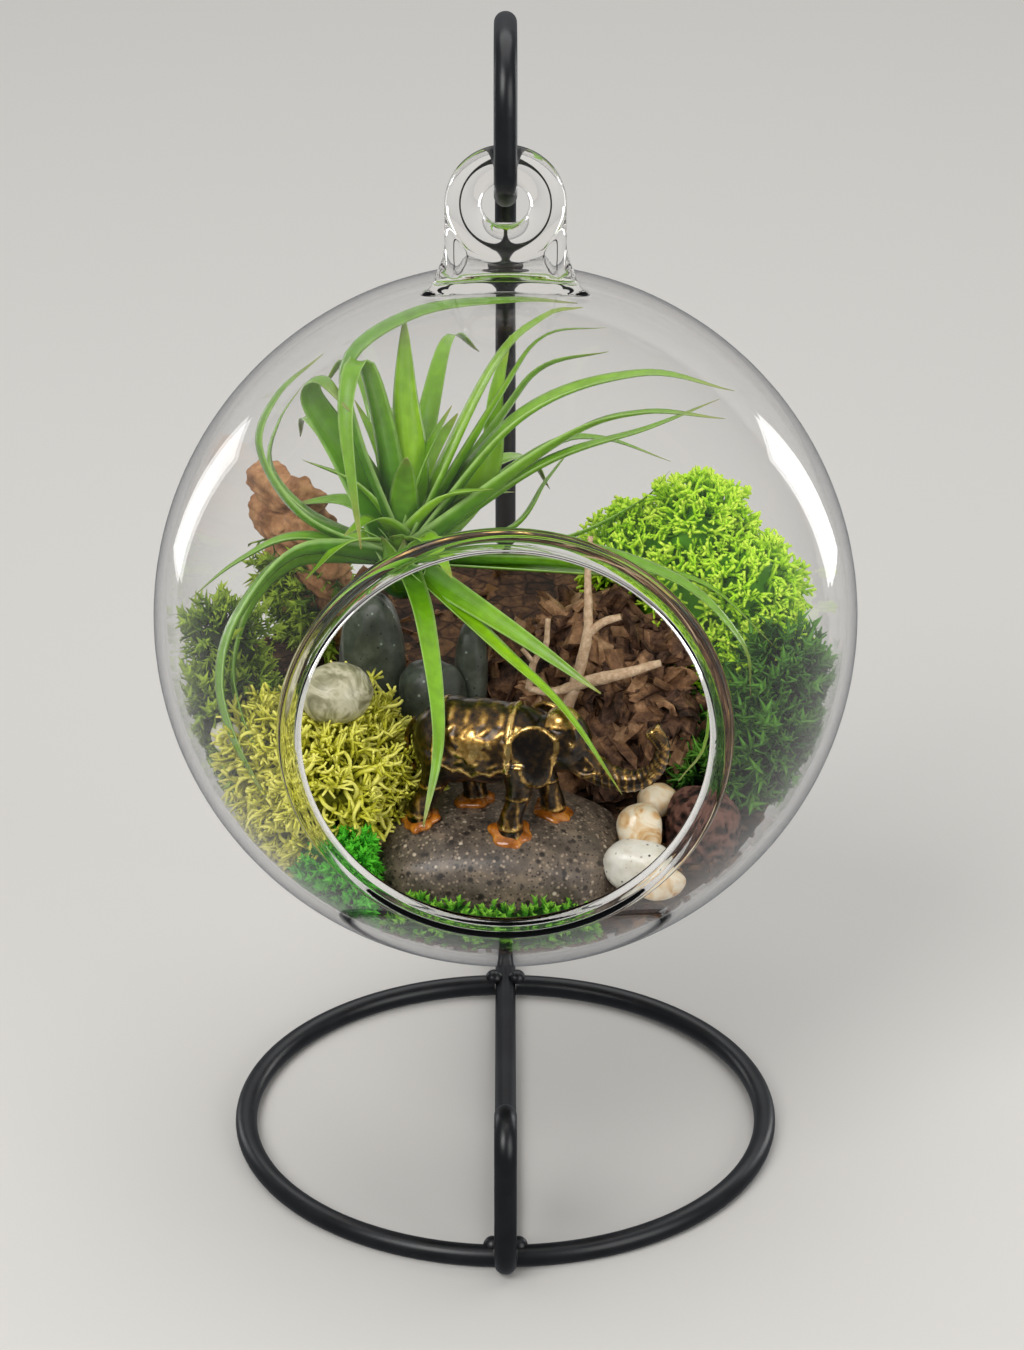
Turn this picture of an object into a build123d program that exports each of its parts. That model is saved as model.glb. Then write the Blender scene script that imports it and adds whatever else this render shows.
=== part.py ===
from build123d import *
import math
import os

# Air plant holder: a clear blown globe hangs by its glass loop from a bent rod stand and holds
# an air plant, mosses, stones, bark and a small cast elephant.
# Millimetres. +X is right, +Y is back, +Z is up and the floor is Z = 0.

SEAM_TURN = (23, 41, 0)  # turns every ball so that its seam misses the trims

# Clearances
SEAT_GAP = 0.2        # between pieces that rest on each other inside the globe
WELD_GAP = 0.1        # between a ring end and the rod it is welded to
HANG_GAP = 0.2        # between the rod and the top of the loop's hole
HOOK_SIDE_GAP = 0.6   # between the hook and the front and back of the loop
POST_GAP = 4.6        # between the globe and the post behind it
FLOOR_GAP = 51.0      # between the floor and the underside of the globe

# Stand
ROD_R = 2.4           # 3/16 in round rod
FLOOR_FLAT = 0.3      # dressed off the underside so that the stand sits flat
RING_R = 58.5         # base ring, to the middle of the rod
CREST_R = 11.9        # small bend at the top of the hook
HOOK_LEG = 12.3       # straight part of the hook's front leg
HOOK_TIP = 3.3        # straight end behind the loop
REAR_BEND = 18.0
FRONT_BEND = 6.6
UPRIGHT_REACH = 7.5   # front upright ahead of the ring
UPRIGHT_TOP = 29.9    # where the front upright starts to bend back
CROOK_TIP = 8.0       # straight end of the front crook
TIP_ROUND = 1.2
BEAD_R = 2.1          # weld bead
BEAD_OUT = 0.3
BEAD_UP = 1.8
BEAD_SETBACK = 1.3    # front beads sit behind the bend

# Globe
GLOBE_R = 75.0
WALL = 2.2
MOUTH_R = 43.4        # to the middle of the rolled lip
LIP_R = 2.2
LOOP_MAJOR = 8.7
LOOP_MINOR = 3.9
LOOP_RISE = 17.6      # middle of the loop above the top of the globe
NECK_TOP_R = (9.6, 4.6)
NECK_WAIST_R = (11.8, 5.8)
NECK_WAIST_UP = 3.0   # waist above the top of the globe
NECK_FOOT_R = (16.5, 9.5)
NECK_SINK = 4.0       # how far the neck reaches below the top of the globe before it is trimmed
NECK_LAP = 2.0        # how far the neck reaches into the loop
HOLE_EASE = 0.6       # the neck is cut back this far round the loop's hole

# Heights and depths that follow
FLOOR_AXIS = ROD_R - FLOOR_FLAT
GLOBE_Z = FLOOR_GAP + GLOBE_R
INNER_R = GLOBE_R - WALL
LOOP_Z = GLOBE_Z + GLOBE_R + LOOP_RISE
HOOK_R = LOOP_MINOR + ROD_R + HOOK_SIDE_GAP
HOOK_Z = LOOP_Z + LOOP_MAJOR - LOOP_MINOR - HANG_GAP - ROD_R + HOOK_R
CREST_Y = CREST_R - HOOK_R
POST_Y = GLOBE_R + POST_GAP + ROD_R
ARCH_R = POST_Y - CREST_Y
CREST_Z = HOOK_Z + HOOK_LEG
ARCH_Z = CREST_Z + CREST_R - ARCH_R
UPRIGHT_Y = -RING_R - UPRIGHT_REACH
ORIGIN_SHIFT = -(UPRIGHT_Y - ROD_R + POST_Y + ROD_R) / 2

# Contents, measured from the centre of the globe and written for one inner radius
LAID_OUT_R = 72.8
ROOM = INNER_R / LAID_OUT_R  # places and sizes of what fits in the globe follow it
BED_LEVEL = -37.0     # bed surface under the centre
BED_SLOPE = 18.0      # degrees, rising to the back
STONE_AT = (-3, -22, -47)
STONE_SIZE = (28.5, 21, 13.5)
STONE_TURN = (0, 0, -6)
PLANT_AT = (-22, 9, 9)
PLANT_SIZE = (7.0, 7.0, 9.0)

# Stones: centre, half sizes, turn in degrees
PEBBLES = {
    "round_pebble": ((-35.5, -20, -9), (7.4, 7.0, 7.0), (0, 0, 20)),
    "cream_pebble": ((28.4, -26.8, -37.6), (4.9, 4.4, 5.8), (0, 15, 10)),
    "ivory_pebble": ((32.5, -16.5, -36), (4.6, 4.0, 3.6), (10, 0, 30)),
    "white_pebble": ((28, -36, -41.5), (7.8, 5.0, 5.6), (0, -12, -15)),
    "tan_pebble": ((32.6, -43.2, -41.2), (4.2, 2.6, 2.7), (0, 30, 35)),
    "lava_rock": ((42, -20, -42), (8.6, 8.0, 10.6), (0, 12, 0)),
    "tall_grey_stone": ((-29, 9, -17), (7.5, 6, 18), (0, 6, 0)),
    "low_grey_stone": ((-16, 2, -24), (7.5, 6.5, 13), (0, -10, 15)),
    "thin_grey_stone": ((-7.5, 7, -20), (3.8, 5, 15), (6, -4, 0)),
    "left_pebble": ((-59, -10, -24), (4.4, 4.0, 3.6), (0, 0, 25)),
    "small_left_pebble": ((-53, -17, -22.5), (3.6, 3.4, 3.2), (0, 0, 0)),
}

# Mosses and bark: lumps as centre and radius
LUMPS = {
    "lime_moss": [
        (40, 22, -8, 15), (29, 27, 1, 10), (51, 17, -3, 12), (42, 26, 8, 10),
        (55, 10, -13, 10), (34, 30, -16, 14), (46, 14, -16, 11),
    ],
    "shredded_bark": [
        (24, 7, -21, 13), (13, 8, -27, 11), (34, 2, -26, 10), (19, 12, -11, 10),
        (30, 11, -12, 9), (22, 3, -31, 11), (4, 14, -22, 10),
    ],
    "dark_moss": [
        (56, 4, -30, 12), (60, 0, -17, 9), (50, -3, -37, 11), (58, -8, -27, 8),
    ],
    "yellow_moss": [
        (-38, -16, -31, 13), (-31, -20, -28, 8), (-47, -14, -27, 10),
        (-37, -26, -28, 9), (-26, -13, -32, 8), (-36, -12, -21, 9), (-44, -24, -36, 9),
    ],
    "green_moss": [
        (-31, -40, -40, 7), (-36, -37, -43, 7), (-27, -44, -46, 5.5), (-33, -42, -47, 6),
    ],
    "olive_moss": [
        (-55, 3, -33, 13), (-60, 1, -21, 9), (-61, 6, -9, 7), (-52, -8, -36, 10),
    ],
    "fringe_moss": [
        (-20, -45.5, -48.5, 5.5), (-11, -47.5, -49.5, 5.5), (-2, -48.5, -50, 5.5), (7, -48, -50, 5.5),
        (14, -46, -50, 5),
    ],
}
CORK_AT = (-45, 35, 0)
CORK_SIZE = (15, 5, 27)
CORK_TURN = (14, 0, -52)

# Elephant: from the middle of its feet, facing +X before it is turned
ELEPHANT_ON_STONE = (-1, -4, 10)  # its feet from the middle of the river stone
ELEPHANT_ROOM = (17, 11, 12)      # kept clear of moss round its body
ELEPHANT_TURN = -16
BODY = ((0, 0, 18.5), (15, 8.2, 8.8))
RUMP = ((-7, 0, 18), (9, 8, 9))
HEAD = ((16.5, 0, 21), (6.6, 5.6, 7))
CLOTH = ((-1, 0, 19.6), (8.5, 8.9, 9.0))
EAR_AT = (12.2, 5.8, 20)
EAR_SIZE = (4.2, 1.3, 6.2)
EAR_TURN = 14
FEET = [(-13, -5.5), (-4, 5.2), (7, -6), (13, 5.2)]
HIPS = [(-9, -4), (-8, 4), (8.5, -4), (9, 4)]
HIP_Z = 16
ANKLE_Z = 4
ANKLE_R = 2.6
FOOT_R = 3.0
HIP_R = 4.0
FOOT_REACH = 8        # legs run below the feet and are trimmed to the stone
TRUNK = [
    (20, 0, 18.5, 3.2), (25, 0, 14.5, 2.6), (31, 0, 13.5, 2.2), (36.5, 0, 17, 1.8),
    (38, 0, 22.5, 1.6), (35.5, 0, 26, 1.3),
]
TAIL = [(-15, 0, 22, 1.1), (-17.2, 0.5, 16, 0.9), (-16.8, 1, 10, 1.0)]
TUSK = [(19, 2.6, 17, 0.8), (24, 3.2, 16.4, 0.4)]
GLUE_R = 3.9
GLUE_H = 1.5

# Twig: each limb is a run of points with a radius
TWIG = [
    [(13, -5.5, -20, 1.2), (17.5, -6, -1, 1.1), (18, -4, 20, 0.6)],
    [(17.4, -6, -2, 1.0), (24.5, -7, 3, 0.5)],
    [(5, -7.5, -14, 0.7), (15, -6.4, -13.5, 1.1), (27, -9, -9, 0.9), (33, -9, -7, 0.5)],
]

# Leaves: width at the base, then the points they pass after the plant's crown
LEAF_THICKNESS = 0.24  # of the width
LEAF_TIP = 0.8
LEAF_START = 3        # from the middle of the crown
LEAF_STATIONS = 9
LEAVES = {
    "upright broad": (8.0, [(-20, 9, 30), (-21, 9, 47), (-21, 9, 64)]),
    "folded over": (6.5, [(-26, 6, 41), (-30, 2, 57), (-33, -6, 48), (-30, -15, 22)]),
    "dark broad": (8.0, [(-34, 8, 34), (-41, 6, 48), (-38, 0, 54), (-32, -6, 49)]),
    "over the top": (5.5, [(-32, 5, 40), (-33, 4, 57), (-18, 8, 66), (2, 12, 67), (15, 15, 65)]),
    "left curl out": (6.0, [(-43, 4, 21), (-52, 3, 37), (-48, 6, 48), (-38, 9, 56)]),
    "left curl in": (5.5, [(-42, 14, 17), (-51, 20, 26), (-49, 22, 36), (-43, 22, 45)]),
    "left droop out": (6.0, [(-44, 1, 14), (-56, -8, 4), (-60, -14, -8), (-57, -22, -18), (-49, -34, -28)]),
    "left droop in": (5.5, [(-44, 5, 10), (-54, 1, 2), (-58, -5, -9), (-56, -15, -16), (-51, -25, -22)]),
    "left flat": (5.0, [(-44, 7, 15), (-57, 6, 10), (-68, 4, 2)]),
    "right long top": (6.5, [(3, 10, 41), (28, 10, 51), (48, 8, 48)]),
    "right long mid": (6.5, [(11, 4, 38), (28, -2, 47), (45, -8, 48)]),
    "right up tip": (6.0, [(8, 16, 28), (31, 20, 35), (46, 22, 41)]),
    "up right a": (6.5, [(-3, 9, 52), (8, 9, 64), (16, 9, 66)]),
    "up right b": (6.0, [(-1, 14, 45), (8, 14, 58), (21, 14, 60)]),
    "up right c": (5.5, [(-1, 20, 37), (8, 22, 48), (22, 24, 51)]),
    "upright thin": (6.0, [(-5, 18, 24), (-2, 22, 43), (1, 26, 54)]),
    "back right a": (5.0, [(1, 16, 13), (9, 22, 22), (15, 28, 28)]),
    "back right b": (5.0, [(10, 18, 9), (29, 26, 15), (36, 30, 21)]),
    "back right c": (5.0, [(7, 20, 29), (20, 24, 31), (36, 28, 24)]),
    "right droop a": (5.5, [(10, 0, 16), (36, -4, 10), (50, -10, -2), (52, -13, -13)]),
    "right droop b": (5.0, [(18, 2, 9), (41, 2, 7), (58, -4, -6)]),
    "front hang": (6.0, [(-17, -14, 4), (-14, -34, -12), (-17, -46, -27)]),
    "front right a": (6.0, [(-2, -14, -1), (12, -34, -6), (24, -45, -20)]),
    "front right b": (5.5, [(4, -12, 0), (20, -22, -8)]),
    "right hang": (4.5, [(20, -1, 10.5), (40, -16, -2), (42, -27, -16), (36, -35, -22)]),
    "back left": (5.5, [(-36, 26, 27), (-44, 40, 30), (-46, 48, 22)]),
    "back a": (6.0, [(-24, 34, 26), (-24, 54, 26), (-24, 62, 14)]),
    "back b": (6.0, [(-8, 32, 18), (4, 50, 16), (10, 60, 4)]),
    "back c": (5.5, [(-16, 26, 38), (-12, 42, 48), (-6, 54, 40)]),
    "back up": (6.0, [(-28, 22, 36), (-34, 32, 46), (-40, 38, 38)]),
}


def to_globe(shape):
    return Pos(0, 0, GLOBE_Z) * shape


def fit(numbers):
    return tuple(n * ROOM for n in numbers)


def to_row(shape):
    return Pos(0, ORIGIN_SHIFT, 0) * shape


def save(node, shape):
    shape = to_row(shape)
    shape.label = node
    export_step(shape, f"parts/{node}.step")


def ball(at, radius):
    return Pos(*at) * Rot(*SEAM_TURN) * Sphere(radius)


def ellipsoid(at, half, turn=(0, 0, 0), grow=0.0, seam_turn=SEAM_TURN):
    unit = Rot(*seam_turn) * Sphere(1)
    return Pos(*at) * Rot(*turn) * scale(unit, by=(half[0] + grow, half[1] + grow, half[2] + grow))


def lumps(node, grow=0.0):
    balls = [ball((x, y, z), r + grow) for x, y, z, r in map(fit, LUMPS[node])]
    return balls[0].fuse(*balls[1:])


def inside():
    return ball((0, 0, 0), INNER_R - SEAT_GAP)


def bed_block(height, middle):
    return Pos(0, 0, BED_LEVEL * ROOM) * Rot(BED_SLOPE, 0, 0) * Pos(0, 0, middle) * Box(400, 400, height)


def above_bed():
    return bed_block(200, 100 + SEAT_GAP)


def below_bed():
    return bed_block(200, SEAT_GAP - 100)


def largest(shape):
    return max(shape.solids(), key=lambda s: s.volume)


def yz_line(y0, z0, y1, z1):
    return Edge.make_line((0, y0, z0), (0, y1, z1))


def yz_arc(y, z, r, start, end):
    def point(deg):
        a = math.radians(deg)
        return (0, y + r * math.cos(a), z + r * math.sin(a))

    return Edge.make_three_point_arc(point(start), point((start + end) / 2), point(end))


def limb(points):
    """Round tapering limb through points that each carry a radius."""
    pieces = []
    for (x0, y0, z0, r0), (x1, y1, z1, r1) in zip(points, points[1:]):
        start = Vector(x0, y0, z0)
        run = Vector(x1, y1, z1) - start
        pieces.append(Solid.make_cone(r0, r1, run.length, Plane(origin=start, z_dir=run)))
        pieces.append(ball((x1, y1, z1), r1))
    x, y, z, r = points[0]
    pieces.append(ball((x, y, z), r))
    return pieces


def leaf(width, points):
    """Blade that leaves the crown, bends through its points and narrows to a tip."""
    width, tip, start_reach = fit((width, LEAF_TIP, LEAF_START))
    crown = Vector(*fit(PLANT_AT))
    bends = [Vector(*fit(p)) for p in points]
    start = crown + (bends[0] - crown).normalized() * start_reach
    path = Edge.make_spline([start] + bends)
    side = (bends[0] - start).cross(bends[-1] - start)
    if side.length < 1:
        side = (bends[0] - start).cross(Vector(0, 0, 1))
    sections = []
    for k in range(LEAF_STATIONS):
        t = k / (LEAF_STATIONS - 1)
        at = path.position_at(t)
        along = path.tangent_at(t)
        across = (side - along * side.dot(along)).normalized()
        normal = along.cross(across)
        half = max(tip, width * (1 - t) ** 0.75) / 2
        thick = max(tip, width * LEAF_THICKNESS * (1 - 0.5 * t)) / 2
        corners = [at + across * half, at + normal * thick, at - across * half, at - normal * thick]
        sections.append(Wire.make_polygon(corners, close=True))
    return Solid.make_loft(sections, ruled=True)


os.makedirs("parts", exist_ok=True)

# Stand: one rod bent into the hook, the post, the floor run and the front crook
rod_path = Wire([
    yz_line(HOOK_R, HOOK_Z + HOOK_TIP, HOOK_R, HOOK_Z),
    yz_arc(0, HOOK_Z, HOOK_R, 0, -180),
    yz_line(-HOOK_R, HOOK_Z, -HOOK_R, CREST_Z),
    yz_arc(CREST_Y, CREST_Z, CREST_R, 180, 90),
    yz_arc(CREST_Y, ARCH_Z, ARCH_R, 90, 0),
    yz_line(POST_Y, ARCH_Z, POST_Y, FLOOR_AXIS + REAR_BEND),
    yz_arc(POST_Y - REAR_BEND, FLOOR_AXIS + REAR_BEND, REAR_BEND, 0, -90),
    yz_line(POST_Y - REAR_BEND, FLOOR_AXIS, UPRIGHT_Y + FRONT_BEND, FLOOR_AXIS),
    yz_arc(UPRIGHT_Y + FRONT_BEND, FLOOR_AXIS + FRONT_BEND, FRONT_BEND, -90, -180),
    yz_line(UPRIGHT_Y, FLOOR_AXIS + FRONT_BEND, UPRIGHT_Y, UPRIGHT_TOP),
    yz_arc(UPRIGHT_Y + FRONT_BEND, UPRIGHT_TOP, FRONT_BEND, 180, 0),
    yz_line(UPRIGHT_Y + 2 * FRONT_BEND, UPRIGHT_TOP, UPRIGHT_Y + 2 * FRONT_BEND, UPRIGHT_TOP - CROOK_TIP),
])
rod_start = Plane(origin=rod_path @ 0, z_dir=rod_path % 0)
below_floor = Pos(0, 0, -10) * Box(400, 400, 20)


def rod(radius):
    return sweep(rod_start * Circle(radius), path=rod_path)


main_rod = rod(ROD_R)
tips = [e for face in main_rod.faces().filter_by(GeomType.PLANE) for e in face.edges()]
main_rod = fillet(tips, TIP_ROUND) - below_floor
save("main_rod", main_rod)

ring = Pos(0, 0, FLOOR_AXIS) * Torus(RING_R, ROD_R) - below_floor
half_space = Pos(200 + ROD_R + WELD_GAP, 0, 0) * Box(400, 400, 400)
right_ring = ring & half_space
left_ring = right_ring.mirror(Plane.YZ)
save("right_ring", right_ring)
save("left_ring", left_ring)

rod_room = Pos(0, 0, FLOOR_AXIS) * Rot(90, 0, 0) * Cylinder(ROD_R + WELD_GAP / 2, 2 * RING_R + 20)
ring_room = Pos(0, 0, FLOOR_AXIS) * Rot(0, 0, 90) * Torus(RING_R, ROD_R + WELD_GAP / 2)
beads = []
for side in (1, -1):
    for y in (RING_R, BEAD_SETBACK - RING_R):
        bead = ball((side * (ROD_R + BEAD_OUT), y, FLOOR_AXIS + BEAD_UP), BEAD_R)
        beads.append(largest(bead - rod_room - ring_room))
save("weld_beads", Compound(children=beads))

# Globe: a shell turned about its mouth, with a rolled lip
lip_depth = math.sqrt((GLOBE_R - WALL / 2) ** 2 - MOUTH_R ** 2)
shell = Sphere(GLOBE_R) - Sphere(INNER_R)
mouth = Pos(0, -lip_depth - 50, 0) * Rot(90, 0, 0) * Cylinder(GLOBE_R, 100)
lip = Pos(0, -lip_depth, 0) * Rot(90, 0, 0) * Torus(MOUTH_R, LIP_R)
globe = (shell - mouth) + lip
save("glass_globe", to_globe(globe))

loop_ring = Pos(0, 0, LOOP_Z) * Rot(90, 0, 0) * Torus(LOOP_MAJOR, LOOP_MINOR)
neck = loft([
    Pos(0, 0, GLOBE_Z + GLOBE_R - NECK_SINK) * Ellipse(*NECK_FOOT_R),
    Pos(0, 0, GLOBE_Z + GLOBE_R + NECK_WAIST_UP) * Ellipse(*NECK_WAIST_R),
    Pos(0, 0, LOOP_Z - LOOP_MAJOR + NECK_LAP) * Ellipse(*NECK_TOP_R),
])
hole = Pos(0, 0, LOOP_Z) * Rot(90, 0, 0) * Cylinder(LOOP_MAJOR - LOOP_MINOR + HOLE_EASE, 40)
seat = to_globe(Sphere(GLOBE_R + WELD_GAP))
hanging_loop = largest(((neck - hole) + loop_ring) - seat)
save("hanging_loop", hanging_loop)

# Stones
hard = {"river_stone": (fit(STONE_AT), fit(STONE_SIZE), STONE_TURN)}
hard.update({node: (fit(at), fit(half), turn) for node, (at, half, turn) in PEBBLES.items()})
stone_room = ellipsoid(*hard["river_stone"], grow=SEAT_GAP)
placed = []
for node, spec in hard.items():
    stone = ellipsoid(*spec) & inside()
    for other in placed:
        stone = stone - ellipsoid(*hard[other], grow=SEAT_GAP)
    placed.append(node)
    save(node, to_globe(largest(stone)))

# Elephant with the glue that holds its feet
figure = [ellipsoid(fit(at), fit(half)) for at, half in (BODY, RUMP, HEAD, CLOTH)]
for side in (1, -1):
    ear_at = fit((EAR_AT[0], side * EAR_AT[1], EAR_AT[2]))
    figure.append(ellipsoid(ear_at, fit(EAR_SIZE), (0, 0, -side * EAR_TURN)))
    figure += limb([fit((x, side * y, z, r)) for x, y, z, r in TUSK])
for (hip_x, hip_y), (foot_x, foot_y) in zip(HIPS, FEET):
    leg = [
        (hip_x, hip_y, HIP_Z, HIP_R),
        (foot_x, foot_y, ANKLE_Z, ANKLE_R),
        (foot_x, foot_y, -FOOT_REACH, FOOT_R),
    ]
    figure += limb([fit(p) for p in leg])
figure += limb([fit(p) for p in TRUNK])
figure += limb([fit(p) for p in TAIL])
elephant = figure[0].fuse(*figure[1:])
place_elephant = Pos(*fit(STONE_AT)) * Pos(*fit(ELEPHANT_ON_STONE)) * Rot(0, 0, ELEPHANT_TURN)
elephant = largest(place_elephant * elephant - stone_room)
save("elephant", to_globe(elephant))

drops = []
glue_r, glue_h, foot_r, post_h = fit((GLUE_R, GLUE_H, FOOT_R, 40))
for x, y in map(fit, FEET):
    post = place_elephant * Pos(x, y, 0) * Cylinder(glue_r, post_h)
    foot_room = place_elephant * Pos(x, y, 0) * Cylinder(foot_r + SEAT_GAP, post_h)
    rind = ellipsoid(*hard["river_stone"], grow=SEAT_GAP + glue_h) - stone_room
    drops.append(largest((rind & post & (Pos(0, 0, -20) * Box(200, 200, 60))) - foot_room))
save("glue_drops", to_globe(Compound(children=drops)))

# Bed that fills the bottom of the globe around the stones
bed = inside() & bed_block(200, -100)
for spec in hard.values():
    bed = bed - ellipsoid(*spec, grow=SEAT_GAP)
save("bark_bed", to_globe(largest(bed)))

# Plant: crown and leaves
crown = ellipsoid(fit(PLANT_AT), fit(PLANT_SIZE))
for node in ("tall_grey_stone", "low_grey_stone", "thin_grey_stone"):
    crown = crown - ellipsoid(*hard[node], grow=SEAT_GAP)
save("plant_crown", to_globe(largest(crown)))
save("plant_leaves", to_globe(Compound(children=[leaf(*spec) for spec in LEAVES.values()])))

# Cork, twig, bark and mosses, each trimmed to what it rests on
cork_spec = (fit(CORK_AT), fit(CORK_SIZE), CORK_TURN)
cork = (ellipsoid(*cork_spec, seam_turn=(0, 0, 0)) - below_bed()) & inside()
save("cork_bark", to_globe(largest(cork)))

twig_runs = [[fit(p) for p in run] for run in TWIG]
twig_limbs = [piece for run in twig_runs for piece in limb(run)]
twig = largest(twig_limbs[0].fuse(*twig_limbs[1:]))
save("twig", to_globe(twig))
twig_room = [p for run in twig_runs for p in limb([(x, y, z, r + SEAT_GAP) for x, y, z, r in run])]

crown_room = ellipsoid(fit(PLANT_AT), fit(PLANT_SIZE), grow=SEAT_GAP)
cork_room = ellipsoid(*cork_spec, grow=SEAT_GAP)
figure_room = place_elephant * ellipsoid(fit(BODY[0]), fit(ELEPHANT_ROOM))
earlier = []
for node in LUMPS:
    mass = lumps(node) & above_bed() & inside()
    cutters = [ellipsoid(*spec, grow=SEAT_GAP) for spec in hard.values()] + [crown_room, cork_room]
    cutters += [lumps(other, SEAT_GAP) for other in earlier]
    cutters.append(figure_room)
    if node == "shredded_bark":
        cutters += twig_room
    for cutter in cutters:
        if mass.bounding_box().overlaps(cutter.bounding_box()):
            mass = mass - cutter
    earlier.append(node)
    save(node, to_globe(largest(mass)))
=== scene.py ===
import functools
import math
import random

import bmesh
import bpy
from mathutils import Matrix, Quaternion, Vector, geometry, noise


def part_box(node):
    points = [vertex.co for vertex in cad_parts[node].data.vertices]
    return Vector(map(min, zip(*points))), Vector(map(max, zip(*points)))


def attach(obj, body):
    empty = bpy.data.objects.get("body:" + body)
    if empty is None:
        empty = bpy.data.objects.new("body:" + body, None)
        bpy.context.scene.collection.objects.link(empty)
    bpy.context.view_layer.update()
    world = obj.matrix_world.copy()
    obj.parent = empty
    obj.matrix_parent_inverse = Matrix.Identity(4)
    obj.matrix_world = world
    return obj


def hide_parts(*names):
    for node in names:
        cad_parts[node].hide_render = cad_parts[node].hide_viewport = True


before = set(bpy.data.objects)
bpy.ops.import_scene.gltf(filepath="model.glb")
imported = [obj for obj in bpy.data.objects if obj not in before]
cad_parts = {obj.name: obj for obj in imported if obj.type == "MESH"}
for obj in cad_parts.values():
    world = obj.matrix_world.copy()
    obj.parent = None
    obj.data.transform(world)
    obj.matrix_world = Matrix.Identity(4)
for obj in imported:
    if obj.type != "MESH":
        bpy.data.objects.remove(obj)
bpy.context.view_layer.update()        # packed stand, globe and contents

scene = bpy.context.scene
mm = 0.001
up = Vector((0, 0, 1))
goldenShare = 0.382  # of a full turn, from one leaf to the next

globeLow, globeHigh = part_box("glass_globe")
globeRadius = (globeHigh.x - globeLow.x) / 2
globeCentre = Vector(((globeLow.x + globeHigh.x) / 2, globeHigh.y - globeRadius, globeHigh.z - globeRadius))
kept = {"stone": 2.5, "strand": 2.6, "leaf": 2.9}  # mm that the contents keep from the outside of the glass
print("frame loaded, globe radius", round(globeRadius / mm, 2), "mm")


# Small helpers

def fromGlobe(point):  # places inside the globe are in mm from its middle
    return globeCentre + Vector(point) * mm


def perMm(size):  # texture scale for a feature of that many mm
    return 1 / (size * mm)


def hexColour(text):
    parts = [int(text[i:i + 2], 16) / 255 for i in (1, 3, 5)]
    linear = [c / 12.92 if c <= 0.04045 else ((c + 0.055) / 1.055) ** 2.4 for c in parts]
    return (*linear, 1.0)


def wire(node, links):  # a node given as source stands for its first live output
    for name, source in links.items():
        if isinstance(source, bpy.types.Node):
            source = next(s for s in source.outputs if s.enabled)
        node.id_data.links.new(source, node.inputs[name])


def addNode(tree, kind, values=None, links=None, stops=None, **settings):
    node = tree.nodes.new("ShaderNode" + kind)
    for name, value in settings.items():
        setattr(node, name, value)
    for name, value in (values or {}).items():
        node.inputs[name].default_value = value
    wire(node, links or {})
    if stops:
        ramp = node.color_ramp
        for place, _ in stops[1:-1]:
            ramp.elements.new(place)
        for element, (place, colour) in zip(ramp.elements, stops):
            element.position = place
            element.color = hexColour(colour)
    return node


def startMaterial(name, values):
    material = bpy.data.materials.new(name)
    material.use_nodes = True
    tree = material.node_tree
    shader = tree.nodes["Principled BSDF"]
    for socket, value in values.items():
        shader.inputs[socket].default_value = value
    place = addNode(tree, "TexCoord").outputs["Object"]
    return material, functools.partial(addNode, tree), shader, place


def layered(*names):  # new bmesh with one number a vertex under each name
    bm = bmesh.new()
    for name in names:
        bm.verts.layers.float.new(name)
    return bm


def meshFrom(bm, name="shape"):
    mesh = bpy.data.meshes.new(name)
    bm.to_mesh(mesh)
    bm.free()
    return mesh


def absorb(bm, mesh):  # the mesh goes into the bmesh and isn't kept
    bm.from_mesh(mesh)
    bpy.data.meshes.remove(mesh)


def addObject(name, data):
    made = bpy.data.objects.new(name, data)
    scene.collection.objects.link(made)
    return made


def addPiece(name, bm, material, replaced, smooth=True):  # the whole content rides on the globe
    mesh = meshFrom(bm, name)
    if smooth:
        mesh.shade_smooth()
    mesh.materials.append(material)
    piece = addObject(name, mesh)
    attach(piece, "globe")
    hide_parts(*replaced)
    print("piece", name, len(mesh.polygons), "faces")
    return piece


def fused(bm, voxel, softening):  # shapes that overlap become one soft skin
    holder = addObject("holder", meshFrom(bm))
    remesh = holder.modifiers.new("remesh", "REMESH")
    remesh.mode = "VOXEL"
    remesh.voxel_size = voxel
    bpy.context.view_layer.update()
    skin = bpy.data.meshes.new_from_object(holder.evaluated_get(bpy.context.evaluated_depsgraph_get()))
    bpy.data.objects.remove(holder)
    bm = bmesh.new()
    bm.from_mesh(skin)
    for _ in range(softening):
        bmesh.ops.smooth_vert(bm, verts=bm.verts, factor=0.5,
                              use_axis_x=True, use_axis_y=True, use_axis_z=True)
    return bm


def smoothPath(points, count):  # even steps along a soft curve through given points
    line = []
    for i in range(len(points) - 1):
        start, end = points[i], points[i + 1]
        before = points[i - 1] if i else start * 2 - end
        after = points[i + 2] if i + 2 < len(points) else end * 2 - start
        leave, arrive = start + (end - before) / 6, end - (after - start) / 6
        line += geometry.interpolate_bezier(start, leave, arrive, end, 24)[:-1]
    line.append(points[-1])
    reach = [0.0]
    for a, b in zip(line, line[1:]):
        reach.append(reach[-1] + (b - a).length)
    steps, j = [], 0
    for k in range(count):
        want = reach[-1] * k / (count - 1)
        while j < len(line) - 2 and reach[j + 1] < want:
            j += 1
        steps.append(line[j].lerp(line[j + 1], (want - reach[j]) / max(reach[j + 1] - reach[j], 1e-9)))
    return steps


def stationMatrix(at, across, normal, width, depth):
    along = across.cross(normal)
    return Matrix((
        (across.x * width, normal.x * depth, along.x, at.x),
        (across.y * width, normal.y * depth, along.y, at.y),
        (across.z * width, normal.z * depth, along.z, at.z),
        (0, 0, 0, 1),
    ))


def ringEdges(ring):  # each edge once, in the ring's own order
    return list(dict.fromkeys(e for v in ring for e in v.link_edges))


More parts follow.
